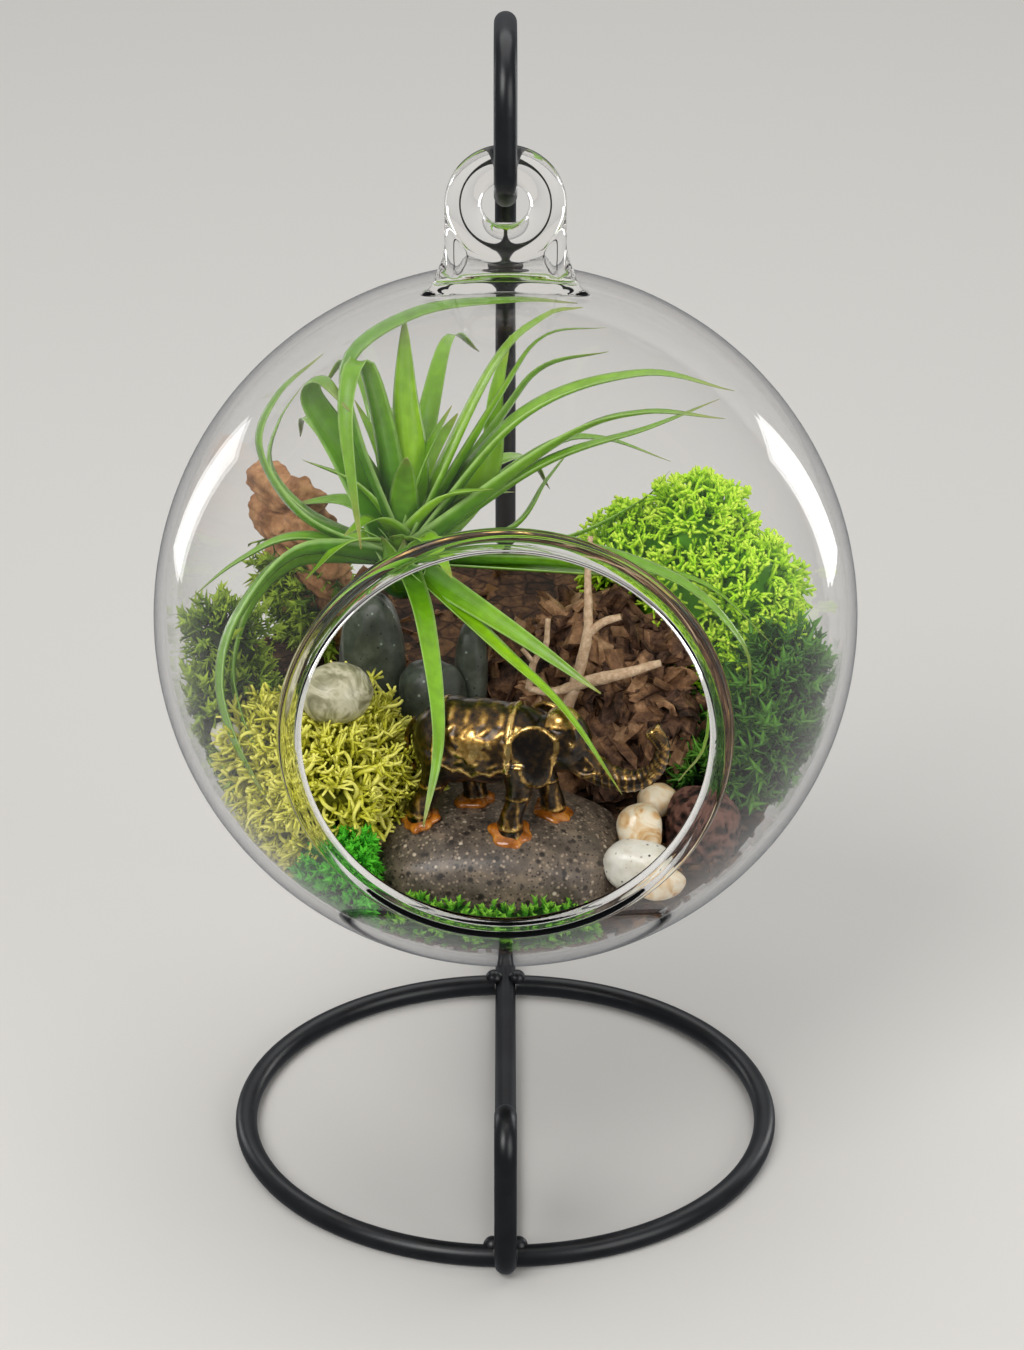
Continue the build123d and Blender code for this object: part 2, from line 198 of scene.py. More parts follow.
def sweep(bm, section, stations):  # one ring drawn along the stations, closed at both ends
    layers = {name: bm.verts.layers.float.get(name) for name in ("along", "across", "under")}
    ring = bmesh.ops.create_circle(bm, segments=len(section), radius=1)["verts"]
    for vert, (x, y) in zip(ring, section):
        vert.co = (x, y, 0)
        if layers["across"]:
            vert[layers["across"]] = x
            vert[layers["under"]] = 1.0 if y < 0.0 else 0.0
    bmesh.ops.transform(bm, matrix=stations[0], verts=ring)
    first = edges = ringEdges(ring)
    for k in range(1, len(stations)):
        made = bmesh.ops.extrude_edge_only(bm, edges=edges)["geom"]
        verts = [g for g in made if isinstance(g, bmesh.types.BMVert)]
        edges = [g for g in made if isinstance(g, bmesh.types.BMEdge)]
        bmesh.ops.transform(bm, matrix=stations[k] @ stations[k - 1].inverted(), verts=verts)
        if layers["along"]:
            for vert in verts:
                vert[layers["along"]] = k / (len(stations) - 1)
    bmesh.ops.holes_fill(bm, edges=first + edges, sides=0)


def roundSection(sides):
    return [(math.cos(math.tau * k / sides), math.sin(math.tau * k / sides)) for k in range(sides)]


def tube(bm, points, radii, sides, count):  # round limb through points, its radius eased between them
    path = smoothPath(points, count)
    stations = []
    across = None
    for k, at in enumerate(path):
        along = (path[min(k + 1, count - 1)] - path[max(k - 1, 0)]).normalized()
        if across is None:
            across = along.orthogonal().normalized()
        across = (across - along * across.dot(along)).normalized()
        t = k / (count - 1) * (len(radii) - 1)
        low = min(int(t), len(radii) - 2)
        radius = radii[low] + (radii[low + 1] - radii[low]) * (t - low)
        stations.append(stationMatrix(at, across, along.cross(across), radius, radius))
    sweep(bm, roundSection(sides), stations)


def keepInside(bm, kind):  # what meets the glass is pressed against it
    limit = globeRadius - kept[kind] * mm
    for vert in bm.verts:
        out = vert.co - globeCentre
        if out.length > limit:
            vert.co = globeCentre + out * (limit / out.length)


def randomTurn(rng, amount):
    return Vector((rng.gauss(0, 1), rng.gauss(0, 1), rng.gauss(0, 1))) * amount


# Finishes

def satinBlackCoat():  # powder-coated steel: near black, broad soft highlights, faint orange peel
    material, add, shader, place = startMaterial("satin black powder coat", {"Specular IOR Level": 0.5})
    wear = add("TexNoise", {"Scale": perMm(7), "Detail": 4}, {"Vector": place})
    tint = add("ValToRGB", None, {"Fac": wear}, [(0.35, "#0c0d0f"), (0.7, "#17191c")])
    gloss = add("MapRange", {"To Min": 0.28, "To Max": 0.42}, {"Value": wear})
    peel = add("TexNoise", {"Scale": perMm(0.8), "Detail": 2}, {"Vector": place})
    bump = add("Bump", {"Strength": 0.12, "Distance": 0.1 * mm}, {"Height": peel})
    wire(shader, {"Base Color": tint, "Roughness": gloss, "Normal": bump})
    return material


def blownGlass():  # clear soda-lime glass, fire-polished: no colour of its own, sharp window reflections
    return startMaterial("clear blown glass", {
        "Base Color": (1, 1, 1, 1), "Roughness": 0.0, "IOR": 1.5, "Transmission Weight": 1.0,
        "Specular Tint": (0.5, 0.5, 0.5, 1),
    })[0]


def speckledStone(name, grounds, flecks, roughness, grain, coat):  # river-worn stone with mineral flecks
    material, add, shader, place = startMaterial(name, {
        "Roughness": roughness, "Coat Weight": coat, "Coat Roughness": 0.2,
    })
    cloud = add("TexNoise", {"Scale": perMm(grain * 6), "Detail": 6, "Roughness": 0.65}, {"Vector": place})
    colour = add("ValToRGB", None, {"Fac": cloud}, grounds)
    for size, share, tint in flecks:  # each size has its own shift, so that the layers don't line up
        shifted = add("VectorMath", {1: (size * 3.7 * mm,) * 3}, {0: place}, operation="ADD")
        cell = add("TexVoronoi", {"Scale": perMm(size)}, {"Vector": shifted})
        spot = add("MapRange", {"From Min": share, "From Max": share * 0.55}, {"Value": cell})
        colour = add("Mix", {7: hexColour(tint)}, {0: spot, 6: colour}, data_type="RGBA")
    fine = add("TexNoise", {"Scale": perMm(grain * 0.5), "Detail": 3}, {"Vector": place})
    height = add("Math", {1: 0.5}, {0: fine, 2: cloud}, operation="MULTIPLY_ADD")
    bump = add("Bump", {"Strength": 0.35, "Distance": 0.25 * mm}, {"Height": height})
    wire(shader, {"Base Color": colour, "Normal": bump})
    return material


def marbledStone(name, stops, band, roughness):  # polished pebble with soft swirled veins
    material, add, shader, place = startMaterial(name, {
        "Roughness": roughness, "Coat Weight": 0.3, "Coat Roughness": 0.15,
    })
    swirl = add("TexNoise", {"Scale": perMm(band), "Detail": 5, "Distortion": 2.2}, {"Vector": place})
    colour = add("ValToRGB", None, {"Fac": swirl}, stops)
    pits = add("TexNoise", {"Scale": perMm(0.9), "Detail": 3}, {"Vector": place})
    bump = add("Bump", {"Strength": 0.15, "Distance": 0.2 * mm}, {"Height": pits})
    wire(shader, {"Base Color": colour, "Normal": bump})
    return material


def lavaStone():  # red-brown scoria: matt, full of pores, with painted shade darkening the pores and hollows
    material, add, shader, place = startMaterial("red brown scoria", {
        "Roughness": 0.85, "Specular IOR Level": 0.3,
    })
    pore = add("TexVoronoi", {"Scale": perMm(1.9)}, {"Vector": place}, feature="SMOOTH_F1")
    cloud = add("TexNoise", {"Scale": perMm(3.5), "Detail": 6}, {"Vector": place})
    heightWithPaintedShade = add("Math", {1: 0.9}, {0: cloud, 2: pore}, operation="MULTIPLY_ADD")
    # colour follows the relief height: painted shade in the pores and hollows, paler on the ridges, plus a
    # random cloud of tone
    colour = add("ValToRGB", None, {"Fac": heightWithPaintedShade}, [(0.6, "#120a08"), (0.8, "#412a23"), (1.0, "#745145")])
    bump = add("Bump", {"Strength": 0.9, "Distance": 0.9 * mm}, {"Height": heightWithPaintedShade})
    wire(shader, {"Base Color": colour, "Normal": bump})
    return material


def antiqueBrass():  # cast brass, dark glossy patina in the hollows, bright gold where hands have rubbed it
    material, add, shader, place = startMaterial("antiqued cast brass", {
        "Metallic": 1.0, "Coat Weight": 0.7, "Coat Roughness": 0.18,
    })
    gilt = add("Attribute", attribute_name="gilt").outputs["Fac"]
    cloud = add("TexNoise", {"Scale": perMm(1.6), "Detail": 5}, {"Vector": place})
    rub = add("Math", {1: 0.9}, {0: cloud, 2: gilt}, operation="MULTIPLY_ADD")
    colour = add("ValToRGB", None, {"Fac": rub}, [
        (0.40, "#241b12"), (0.62, "#5a421f"), (0.82, "#b0863d"), (1.0, "#e8c476"),
    ])
    gloss = add("MapRange", {
        "From Min": 0.4, "From Max": 1.0, "To Min": 0.42, "To Max": 0.26,
    }, {"Value": rub})
    chased = add("TexNoise", {"Scale": perMm(0.9), "Detail": 4}, {"Vector": place})
    bump = add("Bump", {"Strength": 0.3, "Distance": 0.2 * mm}, {"Height": chased})
    wire(shader, {"Base Color": colour, "Roughness": gloss, "Normal": bump})
    return material


def amberGlue():  # set resin glue: wet amber gloss
    material, add, shader, place = startMaterial("amber resin glue", {
        "Roughness": 0.16, "IOR": 1.5, "Coat Weight": 0.6, "Coat Roughness": 0.05,
    })
    cloud = add("TexNoise", {"Scale": perMm(2.2), "Detail": 4}, {"Vector": place})
    colour = add("ValToRGB", None, {"Fac": cloud}, [(0.3, "#6e3a0e"), (0.55, "#b5691c"), (0.75, "#d9963c")])
    wire(shader, {"Base Color": colour})
    return material


def strandFinish(name, foot, middle, tip):  # moss strands: matt, darker at the foot, each a little different
    material, add, shader, _ = startMaterial(name, {"Roughness": 0.6, "Specular IOR Level": 0.25})
    heightShare = add("Attribute", attribute_name="heightShare").outputs["Fac"]
    shade = add("Attribute", attribute_name="shade").outputs["Fac"]
    vary = add("MapRange", {"To Min": -0.16, "To Max": 0.16}, {"Value": shade})
    both = add("Math", None, {0: heightShare, 1: vary}, operation="ADD")
    colour = add("ValToRGB", None, {"Fac": both}, [(0.05, foot), (0.5, middle), (0.95, tip)])
    wire(shader, {"Base Color": colour})
    return material


def barkFinish(name, stops, grain, flake=None):  # torn dry bark: fibrous, matt, with painted shade in its folds and a painted highlight on its crests
    material, add, shader, place = startMaterial(name, {"Roughness": 0.8, "Specular IOR Level": 0.3})
    shade = add("Attribute", attribute_name="shade").outputs["Fac"]
    heightShare = add("Attribute", attribute_name="heightShare").outputs["Fac"]
    fibre = add("TexNoise", {"Scale": perMm(grain), "Detail": 6, "Roughness": 0.7}, {"Vector": place})
    vary = add("MapRange", {"To Min": -0.18, "To Max": 0.18}, {"Value": shade})
    both = add("Math", None, {0: fibre, 1: vary}, operation="ADD")
    value = add("Math", {1: 0.45}, {0: heightShare, 2: both}, operation="MULTIPLY_ADD")  # crests are paler: a painted highlight, which leaves the folds in painted shade
    if flake:  # flakes pressed flat against the glass, each its own tone, with painted shade in the gaps between them
        laid = add("Mapping", {"Scale": (1.0, 1.3, 2.3), "Rotation": (0.4, 0.3, 0.0)}, {"Vector": place})
        cell = add("TexVoronoi", {"Scale": perMm(flake)}, {"Vector": laid})
        edge = add("TexVoronoi", {"Scale": perMm(flake)}, {"Vector": laid}, feature="DISTANCE_TO_EDGE")
        flat = add("MapRange", {"To Min": -0.16, "To Max": 0.24}, {"Value": cell.outputs["Color"]})
        # painted shade along the gaps between the flakes
        paintedGapShade = add("MapRange", {"From Max": 0.09, "To Min": -0.22, "To Max": 0.0}, {"Value": edge})
        pressed = add("Math", None, {0: flat, 1: paintedGapShade}, operation="ADD")
        value = add("Math", None, {0: value, 1: pressed}, operation="ADD")
    colour = add("ValToRGB", None, {"Fac": value}, stops)
    bump = add("Bump", {"Strength": 0.6, "Distance": 0.4 * mm}, {"Height": fibre})
    wire(shader, {"Base Color": colour, "Normal": bump})
    return material


def leafFinish():  # air plant leaf: waxy green, with a painted backlit glow along bright leaves, paler along its edges as painted rim light, grey bloom underneath, dry at the tip
    material, add, shader, place = startMaterial("air plant leaf", {
        "Roughness": 0.27, "Coat Weight": 0.35, "Coat Roughness": 0.12,
    })
    along, across, under, tint = [
        add("Attribute", attribute_name=name).outputs["Fac"] for name in ("along", "across", "under", "tint")
    ]
    length = add("ValToRGB", None, {"Fac": along}, [
        (0.0, "#1d4709"), (0.2, "#42800a"), (0.5, "#558f0e"), (0.85, "#679520"), (1.0, "#948a44"),
    ])
    # painted backlight: a leaf's tint sets how far it is mixed to a bright yellow-green, strongest near the
    # middle of its length
    lit = add("ValToRGB", None, {"Fac": along}, [(0.05, "#606060"), (0.45, "#ffffff"), (1.0, "#909090")])
    glow = add("Math", None, {0: tint, 1: lit}, operation="MULTIPLY")
    bright = add("Mix", {7: hexColour("#a6d916")}, {0: glow, 6: length}, data_type="RGBA")
    # painted rim light: the leaf's edges are mixed towards a pale green
    edge = add("Math", {1: 2.0}, {0: across}, operation="POWER")
    rim = add("MapRange", {"From Min": 0.6, "From Max": 1.0, "To Max": 0.75}, {"Value": edge})
    pale = add("Mix", {7: hexColour("#b4d97e")}, {0: rim, 6: bright}, data_type="RGBA")
    bloom = add("Math", {1: 0.22}, {0: under}, operation="MULTIPLY")
    grey = add("Mix", {7: hexColour("#6c9a55")}, {0: bloom, 6: pale}, data_type="RGBA")
    stripe = add("Math", {1: 26.0}, {0: across}, operation="MULTIPLY")
    wave = add("Math", None, {0: stripe}, operation="SINE")
    mottle = add("TexNoise", {"Scale": perMm(2.5), "Detail": 4}, {"Vector": place})
    height = add("Math", {1: 0.12}, {0: wave, 2: mottle}, operation="MULTIPLY_ADD")
    value = add("MapRange", {
        "From Min": 0.3, "From Max": 0.7, "To Min": 0.82, "To Max": 1.12,
    }, {"Value": mottle})
    colour = add("HueSaturation", None, {"Color": grey, "Value": value})
    bump = add("Bump", {"Strength": 0.25, "Distance": 0.2 * mm}, {"Height": height})
    wire(shader, {"Base Color": colour, "Normal": bump})
    return material


# Stand: the CAD rods stay, with their coat

coat = satinBlackCoat()
for name in ("main_rod", "left_ring", "right_ring", "weld_beads"):
    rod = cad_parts[name]
    rod.data.materials.clear()
    rod.data.materials.append(coat)
    rod.data.shade_smooth()
print("stand coated")


# Glass globe with its loop, one piece

glass = {
    "wall": 2.2, "mouthRadius": 43.4, "lipRadius": 2.3, "lipBlend": 0.25, "lipRoom": 1.15,
    "arcSteps": 60, "lipSteps": 16, "turnSteps": 180,
    "loopRise": 17.6, "loopMajor": 8.7, "loopMinor": 3.9, "loopSides": 28, "loopSteps": 64,
    "legAside": 10.2, "legRadius": 2.4, "legDrop": 15.0, "legSteps": 8,
    "neck": [  # height over the globe, half width, half depth
        (13.0, 11.0, 2.2), (9.0, 12.5, 2.3), (6.5, 13.0, 2.5), (4.5, 13.6, 2.8),
        (3.0, 14.3, 3.2), (1.0, 15.4, 3.8), (-1.0, 16.8, 4.6),
    ],
    "voxel": 0.4, "softening": 10, "merge": 0.01,
    "flareFrom": 2.5, "flareWaist": (14.5, 3.4), "flareReach": (3.6, 1.9), "flareSteps": 10,
    "footSteps": 8, "footGap": 0.04, "nearSphere": 0.015,
}


def globeShell():  # profile from the back pole round the lip and back, spun about the mouth's axis
    bm = bmesh.new()
    outer = globeRadius / mm
    inner = outer - glass["wall"]
    middle = (outer + inner) / 2
    lip = glass["lipRadius"]
    lipAngle = math.asin(glass["mouthRadius"] / middle)
    start = math.pi - lipAngle
    lipAt = Vector((glass["mouthRadius"], -middle * math.cos(lipAngle)))
    spread = math.asin(glass["wall"] / 2 / lip) + glass["lipBlend"]
    stop = start - lip * glass["lipRoom"] / middle
    arc = [stop * k / (glass["arcSteps"] - 1) for k in range(glass["arcSteps"])]
    heading = math.atan2(-math.sin(start), math.cos(start))  # the way the wall runs into the lip
    profile = [(outer * math.sin(a), outer * math.cos(a)) for a in arc]
    for k in range(glass["lipSteps"]):
        a = heading + math.pi - spread + (2 * spread - math.tau) * k / (glass["lipSteps"] - 1)
        profile.append((lipAt.x + lip * math.cos(a), lipAt.y + lip * math.sin(a)))
    profile += [(inner * math.sin(a), inner * math.cos(a)) for a in reversed(arc)]
    verts = [bm.verts.new(fromGlobe((r, y, 0))) for r, y in profile]
    edges = [bm.edges.new(pair) for pair in zip(verts, verts[1:])]
    bmesh.ops.spin(bm, geom=verts + edges, cent=globeCentre, axis=(0, 1, 0), angle=math.tau,
                   steps=glass["turnSteps"], use_merge=True)
    bmesh.ops.remove_doubles(bm, verts=bm.verts, dist=glass["merge"] * mm)
    bmesh.ops.recalc_face_normals(bm, faces=bm.faces)
    return meshFrom(bm)


def loopAndNeck():
    bm = bmesh.new()
    top = globeRadius / mm
    loopAt = fromGlobe((0, 0, top + glass["loopRise"]))
    rod = Matrix.Translation(loopAt + Vector((glass["loopMajor"] * mm, 0, 0)))
    ring = bmesh.ops.create_circle(bm, segments=glass["loopSides"], radius=glass["loopMinor"] * mm,
                                   matrix=rod)["verts"]
    bmesh.ops.spin(bm, geom=ring + ringEdges(ring), cent=loopAt, axis=(0, 1, 0), angle=math.tau,
                   steps=glass["loopSteps"], use_merge=True)
    bmesh.ops.remove_doubles(bm, verts=bm.verts, dist=glass["merge"] * mm)
    for side in (1, -1):  # the ring's sides run straight down into the neck
        leg = loopAt + Vector((side * glass["legAside"] * mm, 0, 0))
        tube(bm, [leg, leg - up * glass["legDrop"] * mm], [glass["legRadius"] * mm] * 2,
             glass["loopSides"], glass["legSteps"])
    stations = []
    for height, width, depth in glass["neck"]:
        at = fromGlobe((0, 0, top + height))
        stations.append(stationMatrix(at, Vector((1, 0, 0)), Vector((0, -1, 0)), width * mm, depth * mm))
    sweep(bm, roundSection(glass["loopSteps"]), stations)
    bmesh.ops.recalc_face_normals(bm, faces=bm.faces)
    bm = fused(bm, glass["voxel"] * mm, glass["softening"])
    flareNeck(bm)
    return meshFrom(bm)


def nextRing(bm, rim, starts, place):  # extrudes the open rim, each vertex placed by where its column starts
    made = bmesh.ops.extrude_edge_only(bm, edges=rim)["geom"]
    verts = {g for g in made if isinstance(g, bmesh.types.BMVert)}
    moved = {}
    for vert in verts:
        source = next(e.other_vert(vert) for e in vert.link_edges if e.other_vert(vert) not in verts)
        moved[vert] = starts[source]
        vert.co = globeCentre + place(starts[source])
    edges = [g for g in made if isinstance(g, bmesh.types.BMEdge)]
    return [e for e in edges if e.verts[0] in verts and e.verts[1] in verts], moved


def flareNeck(bm):  # the neck spreads in a quarter round and its foot lies on the globe
    cut = fromGlobe((0, 0, globeRadius / mm + glass["flareFrom"]))
    bmesh.ops.bisect_plane(bm, geom=bm.verts[:] + bm.edges[:] + bm.faces[:], dist=0.001 * mm,
                           plane_co=cut, plane_no=up, clear_inner=True)
    rim = [e for e in bm.edges if e.is_boundary]
    starts = {v: v.co - globeCentre for e in rim for v in e.verts}
    wide, deep = glass["flareWaist"]
    aside, ahead = glass["flareReach"]
    seat = globeRadius + glass["footGap"] * mm

    def seated(x, y, over=0.0):
        return Vector((x, y, math.sqrt(seat ** 2 - x ** 2 - y ** 2) + over))

    for k in range(1, glass["flareSteps"] + 1):
        angle = math.pi / 2 * k / glass["flareSteps"]

        def flared(start):
            out = Vector((start.x / wide ** 2, start.y / deep ** 2, 0)).normalized()
            spread = mm * (1 - math.cos(angle))
            at = start + Vector((out.x * aside * spread, out.y * ahead * spread, 0))
            return seated(at.x, at.y, (start.z - seated(start.x, start.y).z) * (1 - math.sin(angle)))

        rim, starts = nextRing(bm, rim, starts, flared)
    starts = {v: v.co - globeCentre for v in starts}
    for k in range(1, glass["footSteps"] + 1):  # underside, a hair of air over the wall
        share = 1 - k / (glass["footSteps"] + 0.5)
        rim, starts = nextRing(bm, rim, starts, lambda start: seated(start.x * share, start.y * share))
    bmesh.ops.holes_fill(bm, edges=rim, sides=0)


def blownGlobe():
    bm = bmesh.new()
    bm.from_mesh(globeShell())
    bm.from_mesh(loopAndNeck())
    bmesh.ops.recalc_face_normals(bm, faces=bm.faces)
    print("open edges in the glass:", sum(1 for e in bm.edges if not e.is_manifold))
    return bm


def trueNormals(mesh):  # both faces of the wall, and the foot that lies on it, reflect as true spheres
    radii = [globeRadius, globeRadius - glass["wall"] * mm, globeRadius + glass["footGap"] * mm]
    normals = []
    for face in mesh.polygons:
        for k in face.loop_indices:
            vert = mesh.vertices[mesh.loops[k].vertex_index]
            out = vert.co - globeCentre
            if min(abs(out.length - r) for r in radii) < glass["nearSphere"] * mm:
                normals.append(out.normalized() * (1 if face.normal.dot(out) > 0 else -1))
            else:
                normals.append(vert.normal.copy())
    mesh.normals_split_custom_set(normals)


globePiece = addPiece("blown_globe", blownGlobe(), blownGlass(),
                      ["glass_globe", "hanging_loop"])
trueNormals(globePiece.data)
globePiece.visible_shadow = False  # lamps reach the contents through the clear wall


# Stones

stones = {  # node, slot, place from the globe's middle, half sizes, turn, lumps, subdivisions, squareness
    "riverStone": ("river_stone", "river_stone", (-3, -22, -47), (28.5, 21, 13.5), -6, 0.045, 6, 2.8),
    "roundPebble": ("round_pebble", "round_pebble", (-35.5, -20, -9), (7.9, 7.0, 6.9), 20, 0.04, 5, 2.0),
    "creamPebble": ("cream_pebble", "cream_stone", (28.4, -26.8, -37.6), (4.9, 4.4, 5.8), 10, 0.07, 5, 2.6),
    "ivoryPebble": ("ivory_pebble", "cream_stone", (32.5, -16.5, -36), (4.6, 4.0, 3.6), 30, 0.06, 5, 2.3),
    "whitePebble": ("white_pebble", "white_stone", (28, -36, -41.5), (7.8, 5.0, 5.6), -15, 0.06, 5, 2.4),
    "tanPebble": ("tan_pebble", "cream_stone", (32.2, -43.2, -41.4), (5.5, 2.8, 3.1), 24, 0.05, 5, 2.2),
    "lavaRock": ("lava_rock", "lava_rock", (42, -20, -42), (8.6, 8.0, 10.6), 0, 0.08, 6, 2.6),
    "tallGreyStone": ("tall_grey_stone", "grey_stone", (-29, 9, -17), (7.5, 6, 18), 0, 0.10, 5, 3.0),
    "lowGreyStone": ("low_grey_stone", "grey_stone", (-16, 2, -24), (7.5, 6.5, 13), 15, 0.10, 5, 3.0),
    "thinGreyStone": ("thin_grey_stone", "grey_stone", (-7.5, 7, -20), (3.8, 5, 15), 0, 0.08, 5, 2.6),
    "leftPebble": ("left_pebble", "white_stone", (-59, -10, -24), (4.4, 4.0, 3.6), 25, 0.06, 5, 2.3),
    "smallLeftPebble": (
        "small_left_pebble", "white_stone", (-53, -17, -22.5), (3.6, 3.4, 3.2), 0, 0.06, 5, 2.3,
    ),
}
stoneShape = {
    "fullest": 1.14, "lumpShare": 0.6, "lumpScale": 1.4, "fineShare": 0.25, "fineScale": 4,
    "porous": "lavaRock", "pore": 0.26, "poreScale": 5.2, "poreReach": 0.5, "poreDepth": 1.6,
}

stoneFinish = {
    "river_stone": speckledStone("speckled river stone", [
        (0.3, "#3f372f"), (0.5, "#63574b"), (0.7, "#8a7965"),
    ], [
        (0.9, 0.34, "#382f29"), (1.2, 0.30, "#93816d"), (2.6, 0.30, "#332b26"), (1.7, 0.24, "#a08e79"),
        (3.6, 0.15, "#cbbba6"), (4.4, 0.2, "#29221e"),
    ], 0.46, 1.0, 0.2),
    "round_pebble": marbledStone("marbled green-grey pebble", [
        (0.28, "#5a583c"), (0.45, "#8b8868"), (0.6, "#c2bda0"), (0.75, "#76734a"),
    ], 7.0, 0.32),
    "cream_stone": marbledStone("cream agate pebble", [
        (0.30, "#c48a4c"), (0.42, "#e0bd8a"), (0.58, "#eedfc2"), (0.8, "#f3e9d5"),
    ], 6.0, 0.28),
    "white_stone": speckledStone("white quartz pebble", [
        (0.3, "#cfc9b6"), (0.55, "#e9e5d8"), (0.75, "#f4f1e8"),
    ], [(2.2, 0.16, "#3b332a"), (3.4, 0.14, "#6d5f4d")], 0.3, 0.8, 0.3),
    "lava_rock": lavaStone(),
    "grey_stone": speckledStone("dark green slate", [
        (0.3, "#2c302a"), (0.5, "#474d43"), (0.72, "#6b7165"),
    ], [(3.0, 0.12, "#8b968a"), (2.0, 0.16, "#1c201b")], 0.4, 1.2, 0.15),
}


def roundStone(name, node, slot, place, halves, angle, lump, detail, n):
    bm = bmesh.new()
    bmesh.ops.create_icosphere(bm, subdivisions=detail, radius=1)
    seed = Vector((len(name) * 3.1, place[0], place[2]))
    half = Vector(halves)
    turn = Matrix.Rotation(math.radians(angle), 3, "Z")
    shape = stoneShape
    for vert in bm.verts:
        p = vert.co.copy()
        bulge = 1 / (abs(p.x) ** n + abs(p.y) ** n + abs(p.z) ** n) ** (1 / n)  # fuller than an ellipsoid
        uneven = shape["lumpShare"] + noise.noise(p * shape["lumpScale"] + seed)
        reach = min(bulge, shape["fullest"]) * (1 - lump * uneven)
        reach -= lump * shape["fineShare"] * noise.noise(p * shape["fineScale"] + seed)
        if name == shape["porous"]:
            near = noise.voronoi(p * shape["poreScale"] + seed)[0][0]
            reach -= shape["pore"] * max(0.0, shape["poreReach"] - near) * shape["poreDepth"]
        vert.co = fromGlobe(turn @ Vector((p.x * half.x, p.y * half.y, p.z * half.z)) * reach + Vector(place))
    keepInside(bm, "stone")
    bmesh.ops.recalc_face_normals(bm, faces=bm.faces)
    addPiece(name, bm, stoneFinish[slot], [node])


for stoneName, stoneSpec in stones.items():
    roundStone(stoneName, *stoneSpec)
print("stones set")


# Elephant figurine, modelled in mm round its own feet

elephant = {
    "at": (-4, -26, -35.8), "turn": -16, "voxel": 0.4, "softening": 3,
    "masses": [  # centre, half sizes
        ((0, 0, 18.5), (15, 8.2, 8.8)), ((-7, 0, 18), (9, 8, 9)), ((7, 0, 19.2), (8, 7.4, 8.4)),
        ((16.5, 0, 21), (6.4, 5.2, 7)), ((19, 0, 18.6), (4.2, 3.6, 4.6)), ((16.5, 0, 26), (3.4, 3.6, 2.6)),
    ],
    "earLobes": [((11.8, 6.0, 21.8), (4.9, 1.1, 4.9)), ((12.8, 6.0, 17.6), (3.3, 1.0, 5.4))], "earTurn": 16,
    "tusk": [(19, 2.8, 17), (22, 3.6, 15.4), (25, 3.6, 16.4)], "tuskRadii": [1.1, 0.9, 0.45],
    "eye": (19.6, 4.3, 22.4), "eyeRadius": 0.75,
    "feet": [(-13, -5.5), (-4, 5.2), (7, -6), (13, 5.2)],
    "hips": [(-9, -4), (-8, 4), (8.5, -4), (9, 4)], "hipHeight": 17, "kneeHeight": 9.5, "kneeAhead": 0.6,
    "legRadii": [4.4, 3.0, 2.3, 2.8, 2.9], "ankles": (4, 0.4, -4),
    "toeTurns": (-50, 0, 50), "toeReach": 2.5, "toeRadius": 0.9, "toeHeight": 0.6,
    "trunk": [
        (19, 0, 19.5), (22.5, 0, 16), (27, 0, 14), (32, 0, 13.8), (36.5, 0, 17), (38, 0, 22.5),
        (35.5, 0, 26.3),
    ],
    "trunkRadii": [3.8, 3.1, 2.6, 2.3, 1.9, 1.6, 1.9],
    "tail": [(-15, 0, 22), (-17.4, 0.3, 18), (-17.2, 0.8, 13), (-16.6, 1, 9.5)],
    "tailRadii": [1.1, 0.8, 0.8, 1.2],
    "rubFrom": 0.025, "rubGain": 5.0, "rubMost": 0.6,
}
cloth = {  # ornaments end with how far they lift and how gilt they are
    "middle": -1.2, "half": 8.4, "hem": 13.2, "point": 4.2, "fall": 0.25, "lowest": 11, "widest": 9.5,
    "raise": 0.5, "border": (1.0, 0.28, 0.45), "rosette": (20.5, 2.2, 1.3, 0.22, 0.4),
    "scroll": (1.7, 0.9, 1.5, 0.15, 0.4), "ground": 0.08,
}
trim = {  # pairs of lift and gilt, and where each line runs
    "ear": (0.12, 0.4), "earFrom": 4.8, "earRim": (0.86, 1.1),
    "anklet": (0.2, 0.36), "anklets": [(2.4, 3.4), (9.2, 9.8)], "legTop": 10, "legsEnd": 18,
    "toeTop": 1.2, "toeGilt": 0.36, "streak": (0.26, 2.3, 1.7, 0.5, 1.4),
    "ring": (0.12, 0.28), "between": (0.0, 0.04), "trunkFrom": 22, "trunkHalf": 3.4, "ringStep": 1.7,
    "ringShare": 0.3, "bendFrom": 15, "bendGain": 0.9,
    "cap": (0.15, 0.4), "capEnds": (13.5, 20), "capFrom": 25.4,
}


def clothOn(x, y, z):  # saddle cloth with a pointed hem
    aside = x - cloth["middle"]
    hem = cloth["hem"] + abs(math.sin(aside * math.pi / cloth["point"])) + cloth["fall"] * abs(aside)
    inside = min(cloth["half"] - abs(aside), z - hem)
    if inside < 0 or z < cloth["lowest"] or abs(y) > cloth["widest"]:
        return 0.0, 0.0
    width, lift, gilt = cloth["border"]
    if inside < width:
        return cloth["raise"] + lift, gilt
    height, heart, petals, lift, gilt = cloth["rosette"]
    rise = z - height
    if math.hypot(aside, rise) < heart + petals * abs(math.sin(3 * math.atan2(rise, aside))):
        return cloth["raise"] + lift, gilt
    across, sway, over, lift, gilt = cloth["scroll"]
    scroll = max(0.0, math.sin(aside * across + 2 * math.sin(rise * sway)) * math.sin(rise * over))
    return cloth["raise"] + lift * scroll, cloth["ground"] + gilt * scroll


